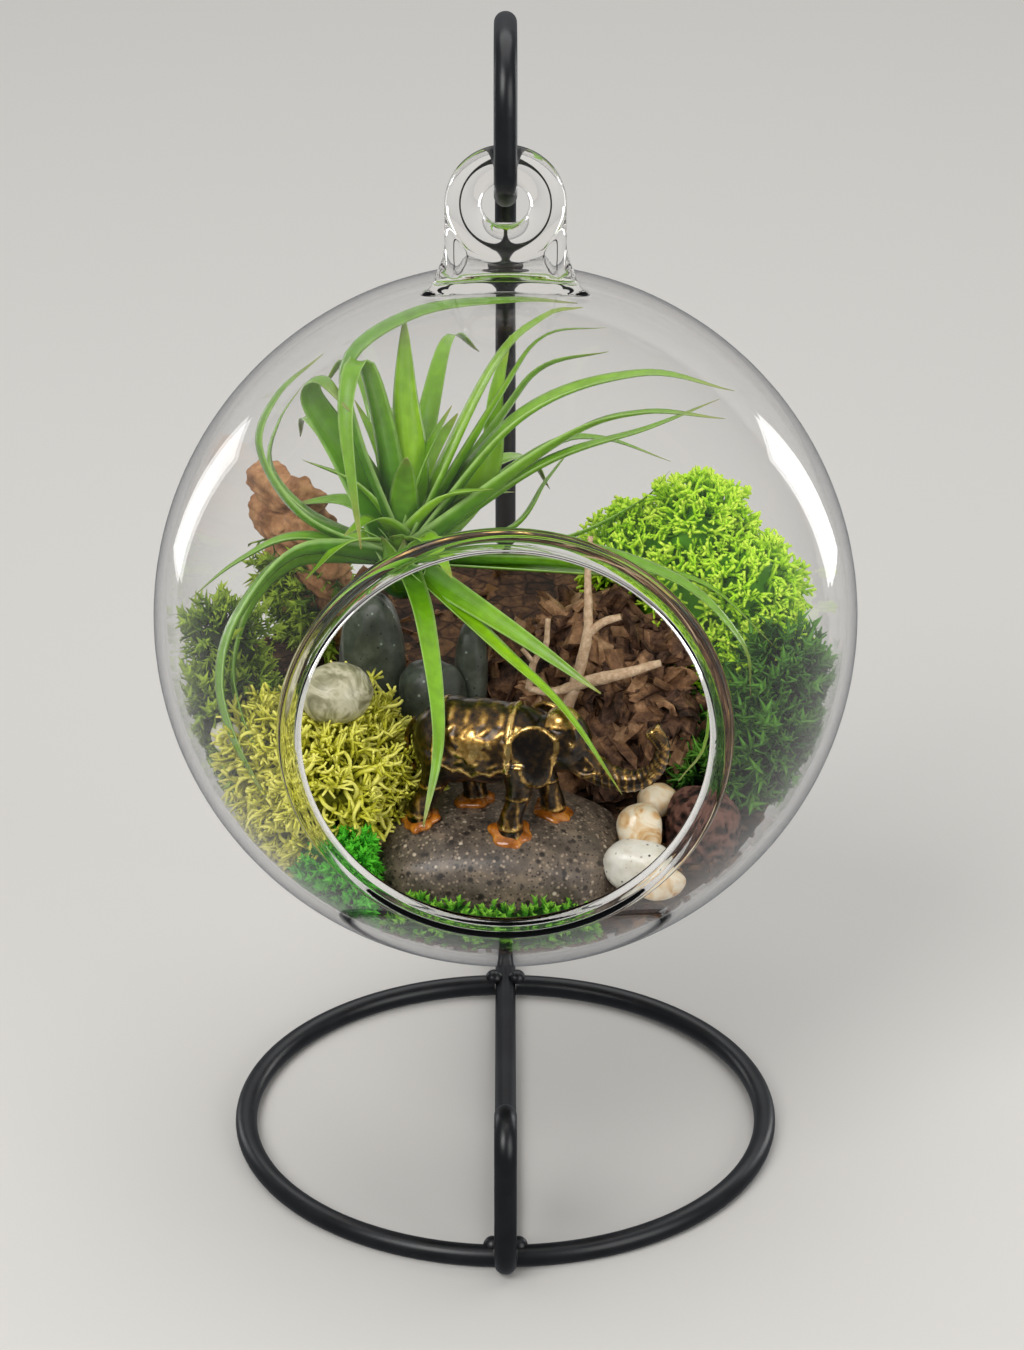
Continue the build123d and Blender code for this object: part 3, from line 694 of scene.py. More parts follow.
def trimOn(x, y, z):  # chased lines on the ears, legs, trunk and brow
    rims = [math.hypot((x - at[0]) / half[0], (z - at[2]) / half[2]) for at, half in elephant["earLobes"]]
    if abs(y) > trim["earFrom"] and trim["earRim"][0] < min(rims) < trim["earRim"][1]:
        return trim["ear"]
    if z < trim["legTop"] and x < trim["legsEnd"]:
        if any(low < z < high for low, high in trim["anklets"]):
            return trim["anklet"]
        gilt, byX, byY, sway, byZ = trim["streak"]
        streak = gilt * max(0.0, math.sin(x * byX + y * byY + sway * math.sin(z * byZ)))
        return 0.0, trim["toeGilt"] if z < trim["toeTop"] else streak
    if x > trim["trunkFrom"] and abs(y) < trim["trunkHalf"]:
        run = x + trim["bendGain"] * max(0.0, z - trim["bendFrom"])
        return trim["ring"] if (run / trim["ringStep"]) % 1 < trim["ringShare"] else trim["between"]
    if trim["capEnds"][0] < x < trim["capEnds"][1] and z > trim["capFrom"]:
        return trim["cap"]
    return 0.0, 0.0


def ball(bm, matrix, detail, radius=1):
    bmesh.ops.create_icosphere(bm, subdivisions=detail, radius=radius, matrix=matrix)


def elephantBody():
    bm = bmesh.new()
    for at, half in elephant["masses"]:
        ball(bm, Matrix.Translation(at) @ Matrix.Diagonal((*half, 1)), 4)
    for side in (1, -1):
        mirror = Matrix.Diagonal((1, side, 1, 1))
        for at, half in elephant["earLobes"]:
            ear = Matrix.Translation(at) @ Matrix.Rotation(math.radians(-elephant["earTurn"]), 4, "Z")
            ball(bm, mirror @ ear @ Matrix.Diagonal((*half, 1)), 4)
        tube(bm, [mirror @ Vector(p) for p in elephant["tusk"]], elephant["tuskRadii"], 10, 10)
        ball(bm, mirror @ Matrix.Translation(elephant["eye"]), 2, elephant["eyeRadius"])
    for (hipX, hipY), (footX, footY) in zip(elephant["hips"], elephant["feet"]):
        hip = Vector((hipX, hipY, elephant["hipHeight"]))
        kneeX = (hipX + footX) / 2 + elephant["kneeAhead"]
        knee = Vector((kneeX, (hipY + footY) / 2, elephant["kneeHeight"]))
        ankle = [Vector((footX, footY, z)) for z in elephant["ankles"]]
        tube(bm, [hip, knee] + ankle, elephant["legRadii"], 16, 18)
        for a in elephant["toeTurns"]:
            out = Vector((math.cos(math.radians(a)), math.sin(math.radians(a)), 0)) * elephant["toeReach"]
            toe = out + Vector((footX, footY, elephant["toeHeight"]))
            ball(bm, Matrix.Translation(toe), 2, elephant["toeRadius"])
    tube(bm, [Vector(p) for p in elephant["trunk"]], elephant["trunkRadii"], 16, 40)
    tube(bm, [Vector(p) for p in elephant["tail"]], elephant["tailRadii"], 10, 16)
    bmesh.ops.recalc_face_normals(bm, faces=bm.faces)
    return fused(bm, elephant["voxel"], elephant["softening"])


def elephantMesh():
    bm = elephantBody()
    bm.normal_update()
    gilt = bm.verts.layers.float.new("gilt")
    normals = {v: v.normal.copy() for v in bm.verts}
    for vert in bm.verts:
        lift, glow = max(clothOn(*vert.co), trimOn(*vert.co))
        vert.co = vert.co + normals[vert] * lift
        vert[gilt] = glow
    proud = {}
    for vert in bm.verts:  # rubbed where the casting stands out
        around = [e.other_vert(vert).co for e in vert.link_edges]
        proud[vert] = (vert.co - sum(around, Vector()) / len(around)).dot(normals[vert]) / elephant["voxel"]
    for vert in bm.verts:
        near = [proud[e.other_vert(vert)] for e in vert.link_edges] + [proud[vert]]
        rubbed = (sum(near) / len(near) - elephant["rubFrom"]) * elephant["rubGain"]
        vert[gilt] = max(vert[gilt], min(elephant["rubMost"], max(0.0, rubbed)))
    turn = Matrix.Rotation(math.radians(elephant["turn"]), 4, "Z")
    figure = Matrix.Translation(fromGlobe(elephant["at"])) @ turn
    bmesh.ops.transform(bm, matrix=figure @ Matrix.Scale(mm, 4), verts=bm.verts)
    return bm


addPiece("elephant_casting", elephantMesh(), antiqueBrass(), ["elephant"])

glue = {"radius": 4.3, "height": 1.5, "ragged": 0.35, "lobes": 1.6, "edge": 0.05}


def gluePuddles():  # each foot stands in a puddle that lies on the river stone
    bm = bmesh.new()
    turn = Matrix.Rotation(math.radians(elephant["turn"]), 4, "Z")
    figure = Matrix.Translation(Vector(elephant["at"])) @ turn
    _, _, at, half, _, lump, _, full = stones["riverStone"]
    for footX, footY in elephant["feet"]:
        foot = figure @ Vector((footX, footY, 0))
        across = sum((abs(foot[i] - at[i]) / half[i]) ** full for i in (0, 1))
        crest = half[2] * max(glue["edge"], 1 - across) ** (1 / full)
        foot.z = at[2] + crest * (1 - stoneShape["lumpShare"] * lump)
        slope = Vector([(foot[i] - at[i]) / half[i] ** 2 for i in range(3)]).normalized()
        lean = slope.to_track_quat("Z", "Y").to_matrix()
        for vert in bmesh.ops.create_icosphere(bm, subdivisions=4, radius=1)["verts"]:
            p = vert.co.copy()
            lobe = noise.noise(Vector((p.x * glue["lobes"], p.y * glue["lobes"], footX)))
            reach = 1 + glue["ragged"] * lobe
            flat = Vector((
                p.x * glue["radius"] * reach, p.y * glue["radius"] * reach, p.z * glue["height"],
            ))
            vert.co = fromGlobe(foot + lean @ flat)
    return bm


addPiece("glue_puddles", gluePuddles(), amberGlue(), ["glue_drops"])


# Air plant

plant = {
    "at": (-22, 9, 9), "stations": 34, "tip": 0.35, "broaden": 1.28, "taper": 0.66, "sway": 0.35, "seed": 41,
    "hollow": 0.36, "keel": 0.2, "skin": 0.03, "below": (-1, -0.82, -0.45, 0, 0.45, 0.82, 1),
    "above": (0.7, 0.35, 0, -0.35, -0.7),
}
leaves = {  # base width, painted backlit glow from 0 dull to 1 bright, then the points it passes after the crown
    "uprightBroad": (8.6, 0.95, [(-20, 9, 30), (-21, 9, 47), (-21, 9, 64)]),
    "foldedOver": (5.4, 0.25, [(-26, 6, 41), (-30, 2, 57), (-33, -6, 48), (-30, -15, 22)]),
    "darkBroad": (8.6, 0.10, [(-34, 8, 34), (-41, 6, 48), (-38, 0, 54), (-32, -6, 49)]),
    "overTheTop": (6.0, 0.15, [(-32, 5, 40), (-33, 4, 57), (-18, 8, 66), (2, 12, 67), (15, 15, 65)]),
    "leftCurlOut": (6.6, 0.15, [(-43, 4, 21), (-52, 3, 37), (-48, 6, 48), (-38, 9, 56)]),
    "leftCurlIn": (6.0, 0.20, [(-42, 14, 17), (-51, 20, 26), (-49, 22, 36), (-43, 22, 45)]),
    "leftDroopOut": (7.6, 0.15, [
        (-44, 1, 14), (-56, -8, 4), (-60, -14, -8), (-57, -22, -18), (-49, -34, -28),
    ]),
    "leftDroopIn": (7.0, 0.20, [(-44, 5, 10), (-54, 1, 2), (-58, -5, -9), (-56, -15, -16), (-51, -25, -22)]),
    "leftFlat": (5.4, 0.25, [(-44, 7, 15), (-57, 6, 10), (-68, 4, 2)]),
    "rightLongTop": (8.2, 0.50, [(3, 10, 41), (28, 10, 51), (48, 8, 48)]),
    "rightLongMid": (8.2, 0.30, [(11, 4, 38), (28, -2, 47), (45, -8, 48)]),
    "rightUpTip": (6.6, 0.30, [(8, 16, 28), (31, 20, 35), (46, 22, 41)]),
    "upRightA": (7.2, 0.70, [(-3, 9, 52), (8, 9, 64), (16, 9, 66)]),
    "upRightB": (6.6, 0.75, [(-1, 14, 45), (8, 14, 58), (21, 14, 60)]),
    "upRightC": (6.0, 0.40, [(-1, 20, 37), (8, 22, 48), (22, 24, 51)]),
    "uprightThin": (6.6, 0.85, [(-5, 18, 24), (-2, 22, 43), (1, 26, 54)]),
    "backRightA": (5.4, 0.30, [(1, 16, 13), (9, 22, 22), (15, 28, 28)]),
    "backRightB": (5.4, 0.30, [(10, 18, 9), (29, 26, 15), (36, 30, 21)]),
    "backRightC": (5.4, 0.25, [(7, 20, 29), (20, 24, 31), (36, 28, 24)]),
    "rightDroopA": (6.0, 0.20, [(10, 0, 16), (36, -4, 10), (50, -10, -2), (52, -13, -13)]),
    "rightDroopB": (5.4, 0.25, [(18, 2, 9), (41, 2, 7), (58, -4, -6)]),
    "frontHang": (4.6, 0.35, [(-17, -14, 4), (-14, -34, -12), (-17, -46, -27)]),
    "frontRightA": (5.0, 0.70, [(-2, -14, -1), (12, -34, -6), (24, -45, -20)]),
    "frontRightB": (4.8, 0.40, [(4, -12, 0), (20, -22, -8)]),
    "rightHang": (4.8, 0.30, [(20, -1, 10.5), (40, -16, -2), (42, -27, -16), (36, -35, -22)]),
    "backLeft": (6.0, 0.20, [(-36, 26, 27), (-44, 40, 30), (-46, 48, 22)]),
    "backA": (6.4, 0.30, [(-24, 34, 26), (-24, 54, 26), (-24, 62, 14)]),
    "backB": (6.4, 0.35, [(-8, 32, 18), (4, 50, 16), (10, 60, 4)]),
    "backC": (6.0, 0.35, [(-16, 26, 38), (-12, 42, 48), (-6, 54, 40)]),
    "backUp": (6.4, 0.30, [(-28, 22, 36), (-34, 32, 46), (-40, 38, 38)]),
}
faceOn = {"uprightBroad": (1, 0.25, 0), "uprightThin": (1, 0.4, 0)}  # broad side shown to the front
leafLayers = ("along", "across", "under", "tint")


def leafSection():  # shallow channel: edges turned up, hollow above, rounded below
    lower = []
    for s in plant["below"]:
        lower.append((s, plant["hollow"] * s * s - plant["keel"] * math.sqrt(max(0.0, 1 - s * s))))
    return lower + [(s, plant["hollow"] * s * s + plant["skin"] * (1 - s * s)) for s in plant["above"]]


def growLeaf(width, glow, points, rng, across=None):
    bm = layered(*leafLayers)
    crown = Vector(plant["at"])
    first = Vector(points[0])
    start = crown + (first - crown).normalized() * 2
    last = plant["stations"] - 1
    path = smoothPath([fromGlobe(p) for p in [start] + [Vector(p) for p in points]], plant["stations"])
    side = (first - start).cross(Vector(points[-1]) - start)
    if side.length < 1:
        side = (first - start).cross(up)
    if across:
        side = Vector(across)
    outward = first - crown
    inner = up * 0.6 - Vector((outward.x, outward.y, 0)).normalized() * 0.4  # the hollow side faces the heart
    along = (path[1] - path[0]).normalized()
    across = (side - along * side.dot(along)).normalized()
    if along.cross(across).dot(inner) < 0:
        side = -side
    sway = rng.uniform(-plant["sway"], plant["sway"])
    stations = []
    for k, at in enumerate(path):
        t = k / last
        along = (path[min(k + 1, last)] - path[max(k - 1, 0)]).normalized()
        across = Quaternion(along, sway * t) @ (side - along * side.dot(along)).normalized()
        half = max(plant["tip"], width * plant["broaden"] * (1 - t) ** plant["taper"]) / 2
        depth = half * (1.15 - 0.45 * t)  # flatter towards the tip
        stations.append(stationMatrix(at, across, along.cross(across), half * mm, depth * mm))
    sweep(bm, leafSection(), stations)
    # tint carries the leaf's glow: how much painted backlight it gets
    tint = bm.verts.layers.float["tint"]
    for vert in bm.verts:
        vert[tint] = glow
    return meshFrom(bm)


heart = {
    "count": 13, "length": 37, "shorten": 1.1, "lean": 14, "spread": 5.0, "width": 7.4, "narrow": 0.15,
    # glow: range of the painted backlight given to the heart leaves
    "glow": (0.2, 0.9), "bends": ((0.3, 0.55), (0.65, 0.85), (1.0, 1.2)),  # share of the length, of the lean
}


def heartLeaf(k):  # inner leaves turn by the golden angle, the outer ones shorter and lower
    turn = math.tau * goldenShare * k
    out = Vector((math.cos(turn), math.sin(turn), 0))
    length = heart["length"] - heart["shorten"] * k
    lean = math.radians(heart["lean"] + heart["spread"] * k)
    points = []
    for share, bend in heart["bends"]:
        aim = out * math.sin(lean * bend) + up * math.cos(lean * bend)
        points.append(Vector(plant["at"]) + aim * length * share)
    return points


def growPlant():
    rng = random.Random(plant["seed"])
    bm = bmesh.new()
    for name, leaf in leaves.items():
        absorb(bm, growLeaf(*leaf, rng, faceOn.get(name)))
    for k in range(heart["count"]):
        width = heart["width"] - heart["narrow"] * k
        absorb(bm, growLeaf(width, rng.uniform(*heart["glow"]), heartLeaf(k), rng))
    keepInside(bm, "leaf")
    bmesh.ops.recalc_face_normals(bm, faces=bm.faces)
    return bm


sheaths = {
    # glow: painted backlight of the first sheath, then its step
    "count": 16, "seed": 17, "width": (8.0, 0.2), "glow": (0.05, 0.02), "reach": (5.5, 0.55),  # first, step
    "foot": (4.5, -4, 0.3), "belly": (6.5, 2, 0.35), "top": (7, 0.3), "bulb": (6, 6, 7.5), "bulbDrop": 1.5,
}


def growCrown():  # sheaths that wrap the heart, round a small bulb
    rng = random.Random(sheaths["seed"])
    bm = layered(*leafLayers)
    crown = Vector(plant["at"])
    for k in range(sheaths["count"]):
        a = math.tau * k * goldenShare
        out = Vector((math.cos(a), math.sin(a), 0))
        points = []
        for reach, height, step in (sheaths["foot"], sheaths["belly"]):
            points.append(crown + out * reach + up * (height + k * step))
        reach = sheaths["reach"][0] + sheaths["reach"][1] * k
        points.append(crown + out * reach + up * (sheaths["top"][0] + k * sheaths["top"][1]))
        width = sheaths["width"][0] - sheaths["width"][1] * k
        glow = sheaths["glow"][0] + sheaths["glow"][1] * k
        absorb(bm, growLeaf(width, glow, [tuple(p) for p in points], rng))
    bulb = Matrix.Diagonal((*[half * mm for half in sheaths["bulb"]], 1))
    ball(bm, Matrix.Translation(fromGlobe(crown - up * sheaths["bulbDrop"])) @ bulb, 3)
    bmesh.ops.recalc_face_normals(bm, faces=bm.faces)
    return bm


leafGreen = leafFinish()
addPiece("air_plant_leaves", growPlant(), leafGreen, ["plant_leaves"])
addPiece("air_plant_crown", growCrown(), leafGreen, ["plant_crown"])


# Small shapes set all over a CAD surface

def surfaceSpots(nodeName, count, rng):  # random places, by area
    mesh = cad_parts[nodeName].data
    mesh.calc_loop_triangles()
    corners = []
    for tri in mesh.loop_triangles:
        corners.append((tri.area, [mesh.vertices[i].co.copy() for i in tri.vertices], tri.normal.copy()))
    spots = []
    for _, (a, b, c), normal in rng.choices(corners, weights=[c[0] for c in corners], k=count):
        u, v = rng.random(), rng.random()
        if u + v > 1:
            u, v = 1 - u, 1 - v
        spots.append((a + (b - a) * u + (c - a) * v, normal))
    return spots


def heightShareTemplate(bm, height):  # share of the height runs from the foot to the tips, and on bark chips from the curled edges up to the crest, where it paints a highlight; shade is one value a copy
    heightShare = bm.verts.layers.float.new("heightShare")
    bm.verts.layers.float.new("shade")
    for vert in bm.verts:
        vert[heightShare] = max(0.0, min(1.0, vert.co.z / height))
    return meshFrom(bm)


def startHeap(nodeName, shrink):  # dark mass under the strands or chips, from the CAD solid
    bm = layered("heightShare", "shade")
    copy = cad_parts[nodeName].data.copy()
    low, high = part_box(nodeName)
    middle = (low + high) / 2
    smaller = Matrix.Translation(middle) @ Matrix.Diagonal((shrink, shrink, shrink, 1))
    copy.transform(smaller @ Matrix.Translation(-middle))
    copy.materials.clear()
    absorb(bm, copy)
    bmesh.ops.remove_doubles(bm, verts=bm.verts, dist=0.02 * mm)
    return bm


def finishHeap(name, bm, spots, templates, spec, rng, material, smooth=True):
    for spot, normal in spots:
        aim = (normal + up * spec["lift"] + randomTurn(rng, spec["scatter"])).normalized()
        turn = aim.to_track_quat("Z", "Y") @ Quaternion((0, 0, 1), rng.uniform(0, math.tau))
        size = rng.uniform(*spec["size"])
        copy = rng.choice(templates).copy()
        at = spot - normal * spec["sink"] * mm
        copy.transform(Matrix.LocRotScale(at, turn, Vector((size, size, size))))
        copy.attributes["shade"].data.foreach_set("value", [rng.random()] * len(copy.vertices))
        absorb(bm, copy)
    keepInside(bm, "strand")
    addPiece(name, bm, material, [spec["node"]], smooth)
    for template in templates:
        bpy.data.meshes.remove(template)


# Mosses

sprig = {  # shares of the length or thickness of one strand
    "stem": 0.42, "taper": 0.8,
    "forkAt": 0.92, "forkSpread": 0.55, "forkReach": (0.6, 0.9), "forkThick": 0.85,
    "curlSteps": 8, "curlFirst": 0.6, "curlGain": 0.11, "curlStray": 0.12, "curlTip": 0.55, "curlTone": 0.5,
    "leafCount": 12, "leafTurn": 2.4, "leafRise": (0.7, 1.3), "leafReach": (0.28, 0.42), "leafFrom": 0.2,
    "leafSpan": 0.75, "leafFlat": 0.45, "leafTip": 0.03, "stemTip": 0.5, "shootTone": 1.1,
}


def spike(bm, base, aim, reach, radius, tip, flat=1, capped=False):  # three-sided cone from base along aim
    lean = aim.to_track_quat("Z", "Y").to_matrix().to_4x4()
    matrix = Matrix.Translation(base + aim * reach / 2) @ lean @ Matrix.Diagonal((1, flat, 1, 1))
    bmesh.ops.create_cone(bm, cap_ends=capped, segments=3, radius1=radius, radius2=tip,
                          depth=reach, matrix=matrix)


def antlerSprig(rng, spec):  # reindeer moss: a stem that forks twice
    bm = bmesh.new()

    def branch(base, aim, reach, thick, forks):
        spike(bm, base, aim, reach, thick, thick * sprig["taper"], capped=True)
        for _ in range((0, 2, 3)[forks]):
            bent = (aim + randomTurn(rng, sprig["forkSpread"])).normalized()
            branch(base + aim * reach * sprig["forkAt"], bent, reach * rng.uniform(*sprig["forkReach"]),
                   thick * sprig["forkThick"], forks - 1)

    branch(Vector((0, 0, 0)), up, spec["length"] * sprig["stem"] * mm, spec["thick"] * mm, 2)
    return heightShareTemplate(bm, spec["length"] * mm)


def curlStrand(rng, spec):  # one curling noodle of moss
    bm = bmesh.new()
    points = [Vector((0, 0, 0))]
    aim = up.copy()
    axis = Vector((rng.uniform(-1, 1), rng.uniform(-1, 1), rng.uniform(-0.3, 0.3))).normalized()
    step = spec["length"] / sprig["curlSteps"]
    for k in range(sprig["curlSteps"]):
        points.append(points[-1] + aim * step)
        aim = Quaternion(axis, spec["curl"] * (sprig["curlFirst"] + sprig["curlGain"] * k)) @ aim
        aim = (aim + randomTurn(rng, sprig["curlStray"])).normalized()
    radii = [spec["thick"] * mm, spec["thick"] * mm, spec["thick"] * sprig["curlTip"] * mm]
    tube(bm, [p * mm for p in points], radii, 4, 12)
    return heightShareTemplate(bm, spec["length"] * sprig["curlTone"] * mm)


def leafyShoot(rng, spec):  # upright moss: a stem with small pointed leaves
    bm = bmesh.new()
    length, count = spec["length"] * mm, sprig["leafCount"]
    bmesh.ops.create_cone(bm, cap_ends=False, segments=3, radius1=spec["thick"] * mm,
                          radius2=spec["thick"] * sprig["stemTip"] * mm, depth=length,
                          matrix=Matrix.Translation(up * length / 2))
    for k in range(count):
        a = k * sprig["leafTurn"]
        aim = Vector((math.cos(a), math.sin(a), rng.uniform(*sprig["leafRise"]))).normalized()
        reach = length * rng.uniform(*sprig["leafReach"])
        base = up * length * (sprig["leafFrom"] + sprig["leafSpan"] * k / (count - 1))
        spike(bm, base, aim, reach, spec["leaf"] * mm, sprig["leafTip"] * mm, sprig["leafFlat"])
    return heightShareTemplate(bm, length * sprig["shootTone"])


mosses = {  # trim: axis and mm that it doesn't grow past; climbs: it also grows up the foot of that piece
    "lime_reindeer_moss": {
        "node": "lime_moss", "slot": "lime_moss", "make": [antlerSprig], "seed": 3,
        "colours": ("#55960a", "#b6ea1e", "#e2ff58"), "length": 7.2, "thick": 0.52, "count": 1200,
        "size": (0.75, 1.25), "lift": 0.35, "scatter": 0.3, "sink": 2.2,
    },
    "dark_feather_moss": {
        "node": "dark_moss", "slot": "dark_moss", "make": [leafyShoot, antlerSprig], "seed": 5,
        "colours": ("#0c1c07", "#285519", "#5a922c"), "length": 9.0, "thick": 0.4, "leaf": 0.7, "count": 720,
        "size": (0.7, 1.2), "lift": 0.7, "scatter": 0.35, "sink": 2.5,
    },
    "yellow_curly_moss": {
        "node": "yellow_moss", "slot": "yellow_moss", "make": [curlStrand, antlerSprig], "seed": 7,
        "colours": ("#666a10", "#d3d23a", "#f2ee78"), "length": 10.0, "thick": 0.5, "curl": 0.66,
        "count": 1600, "size": (0.7, 1.2), "lift": 0.1, "scatter": 0.5, "sink": 2.0, "trim": (2, -18),
    },
    "bright_cushion_moss": {
        "node": "green_moss", "slot": "green_moss", "make": [leafyShoot], "seed": 11,
        "colours": ("#0c3a05", "#1f8f10", "#57c42a"), "length": 4.0, "thick": 0.3, "leaf": 0.6, "count": 560,
        "size": (0.7, 1.2), "lift": 0.5, "scatter": 0.4, "sink": 1.8, "trim": (0, -29),
    },
    "olive_moss_clump": {
        "node": "olive_moss", "slot": "olive_moss", "make": [leafyShoot, antlerSprig], "seed": 13,
        "colours": ("#22320c", "#5f7f1e", "#a8c23c"), "length": 7.0, "thick": 0.35, "leaf": 0.8, "count": 640,
        "size": (0.7, 1.2), "lift": 0.3, "scatter": 0.5, "sink": 2.0, "climbs": ("cork_bark", -6, 3),
    },
    "moss_fringe": {
        "node": "fringe_moss", "slot": "green_moss", "make": [leafyShoot], "seed": 19,
        "colours": ("#143a08", "#3f8a18", "#86c43c"), "length": 3.0, "thick": 0.24, "leaf": 0.5, "count": 420,
        "size": (0.6, 1.1), "lift": 0.1, "scatter": 0.5, "sink": 1.8, "trim": (2, -46),
    },
}
mossCore, sprigKinds = 0.9, 6


def growMoss(name, spec):
    rng = random.Random(spec["seed"])
    templates = [spec["make"][k % len(spec["make"])](rng, spec) for k in range(sprigKinds)]
    bm = startHeap(spec["node"], mossCore)
    spots = surfaceSpots(spec["node"], spec["count"], rng)
    if "trim" in spec:
        axis, edge = spec["trim"]
        limit = globeCentre[axis] + edge * mm
        for vert in bm.verts:
            vert.co[axis] = min(vert.co[axis], limit - mm)
        for at, normal in spots:
            if at[axis] > limit:
                at[axis] = limit
                normal[axis] += 1
                normal.normalize()
    if "climbs" in spec:
        other, height, ragged = spec["climbs"]
        top = globeCentre.z + height * mm
        climbing = surfaceSpots(other, spec["count"], rng)
        spots += [s for s in climbing if s[0].z < top + rng.gauss(0, ragged) * mm]
    finish = strandFinish(name.replace("_", " "), *spec["colours"])
    finishHeap(name, bm, spots, templates, spec, rng, finish)


for mossName, mossSpec in mosses.items():
    growMoss(mossName, mossSpec)
print("mosses grown")


# Bark bed, shredded bark, cork and twig

barks = {
    "bark_litter": {
        "node": "bark_bed", "slot": "bark", "chip": (3.4, 1.7, 0.6), "curl": 0.5, "count": 1200, "seed": 23,
        "size": (0.6, 1.5), "flake": 5.0, "lift": 0.0, "scatter": 0.9, "sink": 0.8, "core": 0.97,
        "colours": [(0.12, "#1c120b"), (0.38, "#493122"), (0.7, "#86613f")],
    },
    "shredded_bark_heap": {
        "node": "shredded_bark", "slot": "bark", "chip": (10.5, 5.0, 1.3), "curl": 1.6, "count": 380,
        "seed": 29, "size": (0.55, 1.3), "flake": None, "lift": 0.1, "scatter": 0.8, "sink": 1.2, "core": 0.9,
        "colours": [(0.25, "#1f130c"), (0.5, "#5f4434"), (0.72, "#96704f"), (0.95, "#cfa680")],
    },
}
torn = {"kinds": 8, "grain": 2.2, "curl": (0.3, 1.0), "length": 0.5, "ripple": 0.3}


def barkChip(rng, spec):  # torn flake, curled along its length
    bm = bmesh.new()
    bmesh.ops.create_cube(bm, size=1)
    bmesh.ops.subdivide_edges(bm, edges=bm.edges, cuts=2, use_grid_fill=True)
    length, width, thick = spec["chip"]
    curl = spec["curl"] * rng.uniform(*torn["curl"])
    radius = width / max(2 * curl, 0.1)
    seed = randomTurn(rng, 10)
    for vert in bm.verts:
        p = vert.co.copy()
        x = p.x * length * (1 + torn["length"] * noise.noise(p * 2 + seed))
        out, a = radius + p.z * thick, p.y * 2 * curl
        z = out * math.cos(a) - radius + torn["ripple"] * noise.noise(p * 4 + seed)
        vert.co = Vector((x, out * math.sin(a), z)) * mm
    # the height share through the chip later paints its crest paler as a highlight
    return heightShareTemplate(bm, thick * mm)


def heapBark(name, spec):
    rng = random.Random(spec["seed"])
    templates = [barkChip(rng, spec) for _ in range(torn["kinds"])]
    bm = startHeap(spec["node"], spec["core"])
    spots = surfaceSpots(spec["node"], spec["count"], rng)
    finish = barkFinish(name.replace("_", " "), spec["colours"], torn["grain"], spec["flake"])
    finishHeap(name, bm, spots, templates, spec, rng, finish, smooth=False)


for barkName, barkSpec in barks.items():
    heapBark(barkName, barkSpec)

cork = {
    "at": (-45, 35, 0), "turn": (14, 0, -52), "foot": -37.0, "slope": 18.0, "sunk": 2, "grain": 4.0,
    "square": 0.45, "fullest": 1.15, "size": 0.92,
    "rough": 0.42, "furrow": (0.12, 0.2, 0.34), "crumb": (0.5, 0.1),
    "chunks": [  # place in the slab, half sizes, lean
        ((-5, 0, -19), (9, 5, 8), 10), ((6, 0, -16), (9, 5, 7), -14), ((-8, 0, -6), (10, 5, 6), -8),
        ((6, 0, -3), (9, 5, 6.5), 12), ((-9, 0, 5), (11, 4.8, 6), 6), ((6, 0, 8), (9, 4.6, 6), -10),
        ((-6, 0, 15), (10, 4.4, 5.5), 8), ((6, 0, 16), (7, 4.2, 5), -6),
    ],
    "colours": [(0.1, "#6b4329"), (0.3, "#a9784f"), (0.5, "#cf9f70"), (0.7, "#e6c096")],
}


def corkSlab():  # broken lumps of cork stacked as one slab
    bm = layered("shade")
    leanX, leanY, turnZ = [math.radians(a) for a in cork["turn"]]
    slab = Matrix.Rotation(turnZ, 3, "Z") @ Matrix.Rotation(leanY, 3, "Y") @ Matrix.Rotation(leanX, 3, "X")
    fx, fy, fz = cork["furrow"]
    crumbScale, crumbDepth = cork["crumb"]
    for place, half, lean in cork["chunks"]:
        tilt = Matrix.Rotation(math.radians(lean), 3, "Y")
        seed = Vector(place)
        for vert in bmesh.ops.create_icosphere(bm, subdivisions=5, radius=1)["verts"]:
            p = vert.co.copy()
            blocky = 1 / max(abs(p.x), abs(p.y), abs(p.z)) ** cork["square"]  # squared off like a broken lump
            q = Vector((p.x * half[0], p.y * half[1], p.z * half[2]))
            q = q * min(blocky, cork["fullest"]) * cork["size"]
            furrow = abs(noise.noise(Vector((q.x * fx, q.y * fy, q.z * fz)) + seed))
            q *= 1 - cork["rough"] * furrow - crumbDepth * noise.noise(q * crumbScale + seed)
            at = slab @ (tilt @ q + seed) + Vector(cork["at"])
            bed = cork["foot"] + math.tan(math.radians(cork["slope"])) * at.y
            at.z = max(at.z, bed - cork["sunk"])
            vert.co = fromGlobe(at)
    keepInside(bm, "strand")
    bmesh.ops.recalc_face_normals(bm, faces=bm.faces)
    return bm


corkFinish = barkFinish("natural cork bark", cork["colours"], cork["grain"])
addPiece("cork_bark_slab", corkSlab(), corkFinish, ["cork_bark"])

twig = {
    "limbs": [  # points, then radii
        ([(13, -5.5, -20), (15.5, -6.2, -11), (17.5, -6, -1), (17.4, -5, 10), (18, -4, 20)],
         [1.4, 1.3, 1.15, 0.8, 0.55]),
        ([(17.4, -6, -2), (20.5, -6.8, 1.4), (24.5, -7, 3)], [1.0, 0.8, 0.7]),
        ([(5, -7.5, -14), (10, -6.6, -15), (15, -6.4, -13.5), (21, -8, -11), (27, -9, -9), (33, -9, -7)],
         [0.7, 0.9, 1.3, 1.4, 1.1, 0.8]),
        ([(5, -7.5, -14), (6, -7, -8), (8.5, -6.5, -4), (9, -6, 2)], [0.75, 0.8, 0.7, 0.55]),
        ([(6, -7, -8), (3.5, -7.5, -4.5)], [0.55, 0.45]),
    ],
    "sides": 10, "steps": 26, "knots": 3, "knotDepth": 0.22, "seed": 31, "grain": 1.4,
    "colours": [(0.25, "#b8997a"), (0.5, "#e2c8a8"), (0.75, "#f4e4cd")],
}


